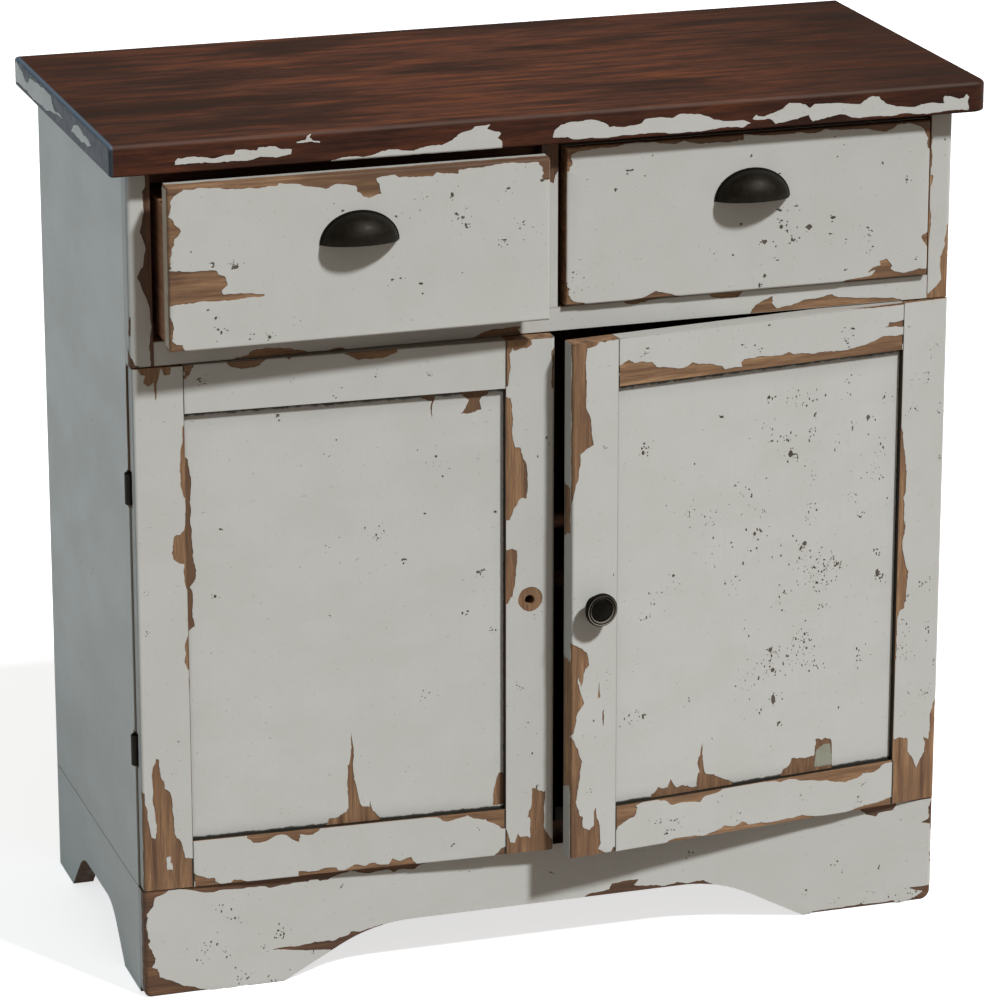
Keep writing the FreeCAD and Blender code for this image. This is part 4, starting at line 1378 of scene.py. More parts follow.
LEFT_DRAWER_CHIPS = (
    chip(806, -377, 0, 367, -31, 0, 1, -6, 2, -4, 12, -2, 3, -2, 1, -36, -2, -40, -4, -2, 3, -21, -3, -3,
        1, -32, 3, -4, -3, -16, -14, 4, -3, -11, 2, -5, 9, -8, 4, -8, 0, -10, -3, -10, 3, -14, 4, -18,
        1, -10, -3, -3, 1, -34, 3, -40, 0, -13, -5, -8, -8, -4, -12, 0, -6, 4, -7, 6, -7, -6, -8, -4,
        -20, -1, 0, -6),
    chip(719, -374, -2, 24, -1, 20, -4, 4, -2, 5, -8, 2, -6, -5, -2, 1, -3, 39, -2, 1, -1, -17, 0, -40,
        -1, -28, -1, -6),
    chip(684, -374, -16, 4, -13, 0, -5, 4, -1, 6, -5, 0, -1, 10, -2, 8, -1, -3, 0, -29),
)
RIGHT_DRAWER_CHIPS = (
    chip(802, 11, -29, 0, 0, 4, 7, 2.5, 9, 1.5, 3, 7, 2, 19, -1, 15, 3, 20, -1, 15, -2, 10, -1, 15, 2, 8,
        -3, 12, -1, 20, 0, 20, 1, 7, 5, 1, -2, 17, -1, 20, 0, 20, -2, 13, 3, 8, -1, 24, -1, 20, -3, 8,
        -1, 10, 5, 10, 2, 14, -3, 10, -4, 6, -8, 3, -12, 2, 0, 3, 34, 0),
    chip(668, 11, 0, 4, -8, 1, -8, 2.5, -4, 3.5, -2, 10, -3, 0, 0, -21),
    chip(643, 70, 4, 16, 3, 10, 2, 8, -3, 9, -2.5, 9, -1.5, 13, -2, 10),
    chip(643, 282, 4, 10, 1.5, 13, 1.5, 13, 4, 3, -1, -7, 4, 4, 1, 9, 5, -1, 1, 8, -4, 4, -6, -1, -3.5, 8,
        -0.5, 13, 2, 10, -1, 9, -8, 0),
    chip(690, 376, -6, -6, -3, -1, -5, 3, -6, 4),
)
RAIL_CHIPS = (
    chip(617, -310, 5, 10, 1, 10, 4, 5, 1, 10, -1, 13, -1, 12, -2, 2, -3, 18, 1, 30, -5, 10),
    chip(617, -90, 4, 15, 3, 9, 3, 11, 1, 15, 0, 12, -4, -2, -7, 6),
    chip(617, 198, 5, 2, 6, 5, 6, 10, 2, 7, -7, -2, -5, 5, 1, 15, 4, 15, 1, 15, 2, 10, -3, 10, -3, 20,
        -1, 20, -2, 15, -2, 7, -4, 0),
    chip(645, 70, -5, 5, 0, 17, 2, 8, 3, 18),
    chip(645, 155, -5, 3, -2, 14, -1, 14, 8, 9),
)
LEFT_STILE_CHIPS = (
    chip(-376, 808, -7, -10, 0, -8, -3, -5, 1, -15, -1, -13, -2, -12, 5, -13, -4, -17, -5, -9, 6, -16,
        4, -15, 3, -15, -2, -10, -1, -10, 1, -10, -1, -12, 6, 0),
    chip(-406, 640, 8, -10, 2, -6, 5, -3, 0, -3, -15, 0),
    chip(-401, 670, 2, -2, 0, -18, -3, 2),
)
RIGHT_STILE_CHIPS = (
    chip(376, 800, 2, -10, 1, -20, 1, -20, -1, -8, 3, -3, -2, -9, -1, -15, 1, -15, 1, -8, -2, -22,
        -3, -15),
    chip(401, 692, -5, -2, 0, -18, -4, -10, -1, -12, 2, -14, -8, -8, -7, -5, -3, -5, 29, 0),
)
FRONT_EDGE_CHIP = chip(-166, 519, 5.4, 0, -0.2, 41, 0.4, 58, -5.6, 0)
CENTRE_STILE_CHIPS = (
    chip(-9, 808, 18, 0, 0, -33, -4, -5, -1, -8, -13, 8),
)
BASE_CHIPS = (
    chip(-406, 110, 30, 0, -4, -6, -10, -4, -2, -8, -4, -7, -2, -13, 2, -7, 1, -13, 2, -7, 4, -5, -3, -9,
        5, -2, 2, -9, 10, -5, 13, -7, 7, -2, 7, -3, 13, -2, 15, -2, -86, 0),
    chip(-372, 110, 22, -7, 10, -2, 40, -1, 19, 0, 2, -3, 7, 0, 7, 2, 24, 0, 3, 2, 7, 0, 3, -3, 9, 0,
        3, 3, 8, 2, 12, 1, 10, -3, 26, 0, 4, -3, 6, 2, 17, -1, 3, 4, 20, 1, 2, 6),
    chip(-278, 34, 18, 1, 24, 1, 16, 1, 2, -1, 10, 2, 6, 1, 4, 3, 8, -0.5, 14, 3.1, 10, 1.8, -2, -4.4,
        -12, -6, -20, -4, -12, -7, -10, 2, -18, 1, -10, 2),
    chip(-404, -2, 0, 5, 69, -1.5, 35, -0.7, 0, -2.8),
    chip(30, 44, 12, 7, 20, 2, 4, 6, 25, 1, -2, -6, 11, -2, 20, -2, 11, 2, 9, -2, 20, 0, 8, -4, 4, -6),
    chip(318, 110, 7, -7, 5, -5, 10, -3, 3, 4, 13, 0, 6, 7, 1, 4),
    chip(404, 110, -6, -2, -2, -13, -2, -9, -6, -3, 10, -3, 1, -20, -1, -20, 6, 0),
    chip(404, 17, -28, -3, 16, -4, -7, -5, -10, -3, -10, -2, 0, -2, 39, 0),
    chip(270, -2, 5, 5, 25, 0.6, 30, -0.4, 30, -0.2, 5, -5),
)
TOP_FRONT_FLAKES = (
    chip(812, -360, 5, 2, 1, 10, -2, 18, 1, 23, 4, 2, 0, 8, -1, 12, 3, 2, -1, 15, -2, 6, -2, 11, -5, -2,
        -1, -15, 2, -14, -2, -8, -1, -20, 1, -30),
    chip(825, -248, 1, 8, 3, 1, 2, 5, -4, -2, -3, 5, 0, 6, -1.5, -1, 1.5, -21),
    chip(804, -217, 4, 12, -1, 10, -1, 10, 2, 15, 4, 10, -2, 10, -1, 12, 2, 8, 1, 18, 5, 12, 5, 8, 2, 9,
        3, 5, 0, 12, -4, -2, -3, 8, -2, 5, -4, -3, -3, 4, -7, 1),
    chip(811, -5, 7, 2, 4, 5, 2, 8, 0, 20, -2, 13, -3, 7, -2, 0, -1, 15, 1, 15, 4, 4, 1, 16, -1, 12, 3, 7,
        -1, 11, -3, 15, -4, 7, -2, 10, 0, 20, -4, 6, -3, -8, 1, -20, -2, -20, 1, -30, 1, -15, 0, -35,
        -1, -12, 0, -28),
    chip(813, 191, 4, 3, -1, 9, 3, 9, 4, 8, 3, 6, -2, 17, -3, 3, 2, 6, 0, 23, -2, 22, 3, 5, 3, 6, -1, 7,
        -3, 3, -5, 8, -3, 9, -1, 17, 2, 6, 0, 17, -1, 5, 7, 1, -3, 15, 0, 4, 4, 3, -3, 2, -5, -1, -8, 2,
        1, -26, -2, -14, 1, -16, 1, -15, -1, -5, 1, -25, 0, -15, 4, -12, -2, -12, -2, -10, -1, -6, 6, -5,
        -2, -15, -3, -10, 0, -6, 5, -7),
)
TOP_END_FLAKES = (
    chip(817, -130, 3, 12, 1, 18, 3, 10, 1, 12, -3, 13, -3, 7, -4, 3, -2, 7, 1, -12, -1, -20, -1, -12,
        2, -13, 0, -13),
    chip(817, -17, 2, 17, -3, 8, 1, 12, 5, 6, 5, 4, 1, 15, -1, 35, -1, 28, 0, 12, -4, 4, -4, 8, -1, 10,
        5, 8, 3, 15, 4, 13, -3, 6, -18, 0, 2, -14, -2, -20, 1, -15, -1, -35, 1, -30, 1, -20, 2, -15,
        2, -17),
)
# Pinholes: how many lie anywhere, then clusters by place across, place along, spread and count.
LEFT_SIDE_SPECKS = specks(8, 104, 682, 4, 4, 50, 580, 5, 5, -3, 370, 4, 7, 65, 251, 10, 6,
    122, 160, 12, 6, -27, 539, 19, 3, -128, 669, 12, 3, 159, 631, 6, 2, -46, 476, 19, 3, size=0.7)
BASE_SPECKS = specks(8, -320, 85, 9, 5, -310, 71, 3, 6, -268, 50, 6, 14, -285, 38, 3, 4, -337, 48, 5, 5,
    -321, 34, 3, 4, -348, 32, 6, 5, -302, 13, 6, 7, -277, 3, 3, 5, -237, 25, 2, 3, -311, 7, 3, 5,
    -207, 90, 2, 2, -82, 88, 3, 3, 2, 76, 3, 5, 145, 80, 2, 3, 303, 49, 6, 5, 345, 41, 2, 2,
    334, 15, 3, 4, 378, 9, 5, 8, 353, 8, 3, 4, 325, 5, 3, 4, 298, 10, 3, 4, 264, 27, 4, 3, 369, 95, 7, 4)
LEFT_DRAWER_SPECKS = specks(10, 769, -107, 5, 5, 748, -98, 7, 12, 738, -90, 2, 4, 771, -53, 3, 3,
    737, -43, 5, 4, 720, -58, 3, 5, 768, -136, 5, 3, 752, -155, 7, 3, 762, -210, 1, 2, 722, -330, 2, 4,
    719, -312, 3, 8, 691, -152, 13, 3, 665, -327, 5, 5, 652, -298, 3, 4, 650, -280, 3, 5, 729, -23, 7, 4,
    678, -341, 3, 2, nicks=fours(771, -53, 1.2, 2, 769, -107, 2.4, 1.5, 751, -103, 1.4, 1.6,
    747, -97, 1.4, 1.8, 740, -94, 1.7, 1.2, 762, -210, 1, 1.4, 753, -160, 1, 1.2, 718, -311, 2, 3,
    694, -164, 1, 1.8, 688, -137, 1.2, 2.2, 650, -280, 1.8, 1.7, 658, -325, 1.8, 1.1, 672, -330, 1.3, 1.3,
    776, -21, 1.6, 2.4, 738, -39, 1, 1))
RIGHT_DRAWER_SPECKS = specks(12, 769, 74, 2, 4, 753, 61, 1, 2, 775, 195, 1, 1, 776, 282, 6, 3,
    758, 326, 1, 1, 740, 352, 2, 3, 723, 241, 2, 4, 721, 224, 3, 4, 703, 230, 5, 8, 690, 239, 3, 5,
    702, 254, 3, 5, 709, 278, 2, 3, 691, 210, 2, 4, 688, 221, 2, 2, 672, 222, 2, 3, 658, 210, 2, 3,
    650, 205, 3, 4, 710, 185, 1, 1, 691, 313, 4, 9, 673, 316, 3, 5, 687, 282, 8, 3, 670, 30, 9, 9,
    664, 364, 2, 2, 682, 178, 1, 1, 657, 269, 13, 2, nicks=fours(702, 254, 2.4, 3, 709, 278, 1.6, 2.6,
    691, 210, 2, 2.2, 710, 186, 1.4, 1.2, 681, 178, 1, 1, 658, 210, 1.4, 1.4, 649, 205, 2.6, 1,
    704, 226, 2, 1.7, 700, 232, 1.3, 1.3, 691, 237, 2, 1.1, 775, 195, 1.4, 1, 758, 327, 1.4, 1,
    740, 352, 1.1, 1.5, 770, 73, 1.1, 2, 753, 61, 1.3, 1, 723, 241, 0.9, 1.8, 721, 223, 1.2, 1.7))
LEFT_DOOR_SPECKS: dict[str, Specks] = {
    "hinge_stile": specks(2, -384, 468, 7, 4, -389, 404, 2, 2, -389, 364, 3, 3, -371, 225, 3, 2,
        size=0.6),
    "lock_stile": specks(2, -12, 515, 6, 3, -18, 419, 1, 1, -34, 275, 3, 4, -19, 239, 7, 4,
        -17, 347, 2, 2, -16, 175, 2, 2, size=0.7),
    "top_rail": specks(1, 604, -334, 4, 5, 597, -249, 2, 2, 593, -171, 5, 5, 581, -211, 3, 2,
        592, -121, 3, 3),
    "bottom_rail": specks(1, 124, -211, 2, 2, 123, -103, 3, 2, 136, -72, 3, 2, size=0.6),
    "panel": specks(5, -262, 561, 3, 5, -216, 523, 5, 4, -109, 503, 11, 5, -169, 441, 5, 8,
        -143, 412, 3, 3, -70, 394, 3, 5, -323, 392, 3, 3, -210, 429, 10, 3, -54, 451, 1, 1,
        -122, 455, 1, 1, -317, 457, 1, 1, -59, 334, 3, 4, -82, 354, 2, 2, -125, 277, 2, 3,
        -214, 363, 1, 1, nicks=fours(-262, 563, 1.5, 1.2, -261, 558, 1, 1, -112, 511, 1.3, 1.3,
        -55, 452, 1.5, 1.3, -123, 456, 1.5, 1, -144, 413, 2, 1, -72, 394, 1.8, 1.4, -68, 395, 1.4, 1,
        -106, 491, 1, 1, -318, 458, 1.3, 1, -324, 393, 1.6, 1.6, -82, 356, 1.5, 1)),
}
RIGHT_DOOR_SPECKS: dict[str, Specks] = {
    "hinge_stile": specks(6, 361, 540, 2, 3, 376, 543, 5, 9, 366, 513, 5, 7, 392, 508, 3, 4,
        394, 460, 3, 5, 358, 408, 3, 4, 380, 332, 5, 13, 362, 322, 3, 4, 359, 297, 5, 7, 383, 287, 5, 5,
        386, 568, 6, 5, 362, 268, 6, 12, 385, 221, 5, 13, 367, 222, 2, 2, 362, 202, 2, 3, 395, 251, 3, 3,
        size=0.7),
    "lock_stile": specks(2, 37, 516, 1, 2, 24, 560, 1, 2, 46, 389, 1, 1, 23, 173, 3, 3, 42, 288, 4, 3,
        size=0.7),
    "top_rail": specks(1, 602, 77, 3, 5, 597, 180, 2, 4, 592, 196, 2, 4, 591, 292, 5, 9),
    "bottom_rail": specks(2, 120, 107, 3, 7, 129, 117, 4, 8, 134, 95, 4, 5, 143, 162, 3, 3,
        119, 314, 3, 5, 133, 249, 3, 3, 137, 319, 3, 3, 123, 180, 4, 4),
    "panel": specks(30, 214, 540, 3, 9, 236, 534, 7, 12, 260, 531, 7, 9, 212, 509, 6, 8, 232, 498, 7, 14,
        237, 480, 5, 12, 258, 499, 5, 9, 300, 500, 5, 7, 320, 507, 3, 8, 285, 485, 5, 8, 334, 476, 6, 8,
        343, 528, 6, 6, 299, 539, 8, 6, 329, 449, 7, 10, 255, 459, 5, 4, 188, 453, 12, 8, 304, 429, 4, 5,
        254, 422, 8, 11, 310, 411, 6, 8, 144, 429, 13, 10, 126, 436, 2, 4, 202, 406, 5, 7, 205, 428, 3, 4,
        254, 385, 5, 16, 268, 363, 12, 42, 279, 368, 9, 22, 265, 347, 8, 18, 333, 371, 3, 8,
        334, 347, 4, 14, 235, 378, 9, 8, 199, 382, 7, 6, 172, 360, 6, 6, 232, 338, 7, 9, 273, 322, 4, 8,
        104, 354, 12, 9, 81, 338, 5, 5, 82, 506, 3, 8, 162, 527, 2, 4, 251, 294, 7, 12, 219, 285, 5, 14,
        255, 289, 11, 22, 196, 265, 8, 14, 220, 266, 9, 12, 245, 274, 8, 10, 266, 264, 7, 12,
        315, 265, 6, 11, 223, 234, 4, 7, 207, 226, 4, 5, 68, 242, 6, 10, 82, 242, 3, 4, 130, 248, 3, 3,
        229, 209, 2, 3, 193, 311, 5, 4, 170, 390, 20, 10, nicks=fours(161, 528, 2.2, 1.3,
        211, 541, 1.8, 1.9, 235, 482, 2.4, 3.4, 80, 512, 1.4, 1, 79, 503, 1.5, 2.2, 318, 508, 2, 2.6,
        198, 407, 1.6, 2, 332, 349, 2, 4, 252, 390, 2.2, 2.6, 112, 377, 1.4, 1.4, 133, 485, 1, 1.1,
        194, 445, 1, 1.4, 177, 458, 1, 1.1, 154, 409, 1, 1.2, 221, 236, 2.2, 5.2, 228, 211, 1.8, 1.2,
        217, 287, 2.2, 2.4, 220, 266, 2, 2.4)),
}
OLD_PAINT_PATCH = chip(268, 158, 1, 16, 5, 6, 10, 1, 2.5, -11, 0.5, -11)


def dress(finish: Finish, *nodes: str) -> None:
    """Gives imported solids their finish.

    Args:
        finish: the finish.
        nodes: the solids' names.
    """
    for name in nodes:
        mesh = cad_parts[name].data
        mesh.materials.clear()
        mesh.materials.append(finish.material())
        LOG.info("%s: %s", name, finish.name)


@dataclass
class TopBoard:
    """The stained top with the last of its paint along the edges."""

    front: float = -202.0
    back: float = 186.0
    left: float = -420.0
    right: float = 426.6
    low: float = 804.0
    high: float = 833.0
    left_corner: float = 4.5
    right_corner: float = 16.0
    under_radius: float = 2.0
    edge_radius: float = 4.5
    film: float = 0.3
    end_film: float = 0.1

    def build(self) -> None:
        """Dresses the board and lays the paint remnants on its edges."""
        dress(STAINED, "top_board")
        dress(STEEL, "top_board_screws")
        width = (self.left + self.left_corner, self.right - self.right_corner)
        left_depth = (self.front + self.left_corner, self.back)
        right_depth = (self.front + self.right_corner, self.back)
        ends = TOP_END_FLAKES
        edges = (
            ("front", Facing.FRONT_LEVEL, self.front, width, 3, TOP_FRONT_FLAKES, self.film),
            ("left", Facing.LEFT_LEVEL, self.left, left_depth, 4, ends, self.end_film),
            ("right", Facing.RIGHT_LEVEL, self.right, right_depth, 5, ends[:1], self.end_film),
        )
        low, high = (Edge(r, wrap=3, worn=0) for r in (self.under_radius, self.edge_radius))
        for name, facing, plane, along, seed, flakes, film in edges:
            Coat(
                "top_%s_paint" % name, "case", facing, plane, (self.low, self.high), along, seed, low, high,
                painted=False, flakes=flakes, lift=film,
            ).build()


@dataclass
class Faces:
    """Where the outer faces of the cabinet are, and how paint turns round its front corners and back."""

    half: float = 400.0
    front: float = -179.0
    layer: float = -161.0
    back: float = 179.0
    base_top: float = 107.5
    turned: Edge = Edge(radius=4, wrap=14, worn=1.5)
    back_edge: Edge = Edge(wrap=5, worn=1.5)


@dataclass
class Carcass(Faces):
    """Sides, face frame, back and all that stands inside."""

    top: float = 804.0
    rail: Span = (620.0, 642.5)
    stile_inner: float = 378.5
    centre_half: float = 8.0
    barrel_room: float = 18.0
    barrel_span: Span = (-4.0, 5.0)
    hinge_levels: Span = (245.2, 500.8)

    def barrel_cuts(self, low: float, high: float) -> tuple[Outline, ...]:
        """Where a coat leaves room for the hinge barrels."""
        spans = [(level - self.barrel_room, level + self.barrel_room) for level in self.hinge_levels]
        return tuple(((low, start), (high, start), (high, end), (low, end)) for start, end in spans)

    def build(self) -> None:
        """Dresses the solids and coats the outer faces."""
        dress(wood(Tone.BARE, Grain.UPRIGHT), "left_side_panel", "right_side_panel", "right_face_stile")
        # Darker wood on the left and centre stiles.
        dress(wood(Tone.AGED, Grain.UPRIGHT), "left_face_stile", "centre_face_stile")
        dress(wood(Tone.BARE, Grain.LEVEL), "drawer_rail")
        dress(wood(Tone.INNER, Grain.LEVEL), "floor_panel", "front_stretcher", "back_stretcher")
        dress(wood(Tone.INNER, Grain.LEVEL), "runner_back_rail", "shelf", "drawer_stops")
        dress(wood(Tone.BOX, Grain.UPRIGHT), "back_panel")
        dress(wood(Tone.INNER, Grain.DEEP), "side_runners", "centre_runner")
        dress(STEEL, "shelf_pins", "frame_leaf_screws")
        dress(BRONZE, "hinge_frame_leaves", "hinge_pins", "door_catches")
        cuts = self.barrel_cuts(*(self.layer + off for off in self.barrel_span)) + (FRONT_EDGE_CHIP,)
        depth, height = (self.layer, self.back), (self.base_top, self.top)
        sides = (
            ("left", Facing.LEFT_UPRIGHT, -self.half, 11, LEFT_SIDE_SPECKS),
            ("right", Facing.RIGHT_UPRIGHT, self.half, 12, Specks(40)),
        )
        for name, facing, plane, seed, marks in sides:
            Coat(
                name + "_side_paint", "case", facing, plane, depth, height, seed,
                Edge(wrap=1.2, worn=1.0), self.back_edge, chips=cuts, specks=marks,
            ).build()
        outer, inner, middle = self.half, self.stile_inner, self.centre_half
        tall, short = (self.rail[0], self.top), (self.rail[1], self.top)
        plain = Edge()
        stiles = (
            ("left", (-outer, -inner), tall, 21, self.turned, plain, LEFT_STILE_CHIPS, Specks(3)),
            ("right", (inner, outer), tall, 22, plain, self.turned, RIGHT_STILE_CHIPS, Specks(4)),
            ("centre", (-middle, middle), short, 23, plain, plain, CENTRE_STILE_CHIPS, Specks()),
        )
        for name, across, along, seed, low, high, chips, marks in stiles:
            Coat(
                name + "_stile_paint", "case", Facing.FRONT_UPRIGHT, self.front, across, along, seed,
                low, high, chips=chips, specks=marks,
            ).build()
        Coat(
            "rail_paint", "case", Facing.FRONT_LEVEL, self.front, self.rail, (-inner, inner), 24,
            high=Edge(wrap=1, worn=2), chips=RAIL_CHIPS,
        ).build()


@dataclass
class Base(Faces):
    """The bracket base with its shaped front board."""

    rise: float = 48.0
    flat_half: float = 138.0
    arc: float = 150.0
    slope_deg: float = 28.3
    side_flat: Span = (-29.3, 52.3)
    side_arc: float = 50.0
    side_slope_deg: float = 45.0
    left_toe: float = 6.0
    right_toe: float = 10.0

    @staticmethod
    def toe(inside: np.ndarray, radius: float) -> np.ndarray:
        """Height of a rounded lower corner at a distance in from the board's end."""
        return radius - np.sqrt(radius**2 - np.clip(radius - inside, 0, radius) ** 2)

    def fall(self, beyond: np.ndarray, arc: float, slope_deg: float) -> np.ndarray:
        """Height of a cut-out's edge beyond the end of its flat.

        Args:
            beyond: distance from the end of the flat.
            arc: radius of the curve that leaves it.
            slope_deg: slope at which the curve goes on straight.

        Returns:
            The heights.
        """
        slope = math.radians(slope_deg)
        turn = arc * math.sin(slope)
        curve = self.rise - (arc - np.sqrt(np.maximum(arc**2 - np.minimum(beyond, turn) ** 2, 0)))
        return curve - np.maximum(beyond - turn, 0) * math.tan(slope)

    def front_line(self, x: np.ndarray) -> np.ndarray:
        """Height of the front board's lower edge over the floor.

        Args:
            x: places from left to right.

        Returns:
            The heights.
        """
        arch = self.fall(np.maximum(np.abs(x) - self.flat_half, 0), self.arc, self.slope_deg)
        toes = np.maximum(self.toe(x + self.half, self.left_toe), self.toe(self.half - x, self.right_toe))
        return np.maximum(arch, toes)

    def side_line(self, y: np.ndarray) -> np.ndarray:
        """Height of the side arch over the floor."""
        beyond = np.maximum(np.maximum(self.side_flat[0] - y, y - self.side_flat[1]), 0)
        return self.fall(beyond, self.side_arc, self.side_slope_deg)

    def build(self) -> None:
        """Dresses the boards and coats their outer faces."""
        dress(wood(Tone.AGED, Grain.LEVEL), "base_front_board")
        dress(wood(Tone.AGED, Grain.DEEP), "base_left_board", "base_right_board")
        dress(wood(Tone.INNER, Grain.LEVEL), "base_back_rail")
        dress(wood(Tone.INNER, Grain.UPRIGHT), "base_corner_blocks")
        width, depth, height = (-self.half, self.half), (self.layer, self.back), (0, self.base_top)
        Coat(
            "base_front_paint", "case", Facing.FRONT_UPRIGHT, self.front, width, height, 31,
            self.turned, self.turned, end_worn=2.2, chips=BASE_CHIPS, level_grain=True,
            floor_line=self.front_line, specks=BASE_SPECKS,
        ).build()
        sides = (
            ("left", Facing.LEFT_UPRIGHT, -self.half, 32, Specks(14)),
            ("right", Facing.RIGHT_UPRIGHT, self.half, 33, Specks(20)),
        )
        for name, facing, plane, seed, marks in sides:
            Coat(
                "base_%s_paint" % name, "case", facing, plane, depth, height, seed, Edge(worn=0.6),
                self.back_edge, level_grain=True, floor_line=self.side_line, specks=marks,
            ).build()


@dataclass
class Drawer:
    """A drawer: its painted front, its box and its cup pull."""

    side: str
    pulled: float
    chips: tuple[Outline, ...]
    specks: Specks
    seed: int
    span: Span
    low: float
    painted_ends: tuple[Facing, ...] = (Facing.LEFT_UPRIGHT, Facing.RIGHT_UPRIGHT)
    high: float = 796.0
    front: float = -179.0
    thickness: float = 17.0
    radius: float = 2.0
    shade: Triple = (766.0, 780.0, 0.6)
    shade_inset: float = 100.0
    back_gap: float = 1.0

    def move(self, points: np.ndarray) -> np.ndarray:
        """Takes points of the closed drawer to where it stands."""
        return points - (0.0, self.pulled, 0.0)

    def build(self) -> None:
        """Dresses the box and coats its front."""
        body = self.side + "_drawer"
        shaded = {"shade": self.shade, "shade_from": self.span[0] + self.shade_inset}
        dress(replace(wood(Tone.BARE, Grain.LEVEL), name=body + "_front_wood", **shaded), body + "_front")
        dress(wood(Tone.BOX, Grain.DEEP), body + "_left_side", body + "_right_side")
        dress(wood(Tone.BOX, Grain.LEVEL), body + "_back", body + "_bottom")
        dress(BRONZE, body + "_cup_pull")
        dress(STEEL, body + "_pull_screws")
        turned = Edge(self.radius, wrap=self.thickness - self.radius - self.back_gap, worn=2.0)
        Coat(
            body + "_front_paint", body, Facing.FRONT_LEVEL, self.front, (self.low, self.high), self.span,
            self.seed, turned, turned, end_radius=self.radius, chips=self.chips, specks=self.specks,
        ).build(self.move)
        depth = (self.front + self.radius, self.front + self.thickness)
        height = (self.low + self.radius, self.high - self.radius)
        for facing in self.painted_ends:
            name, x = ("left", self.span[0]) if facing is Facing.LEFT_UPRIGHT else ("right", self.span[1])
            Coat(
                "%s_%s_end_paint" % (body, name), body, facing, x, depth, height, self.seed + len(name),
                Edge(worn=4.0), Edge(worn=3.0), finish=END_WHITE,
            ).build(self.move)


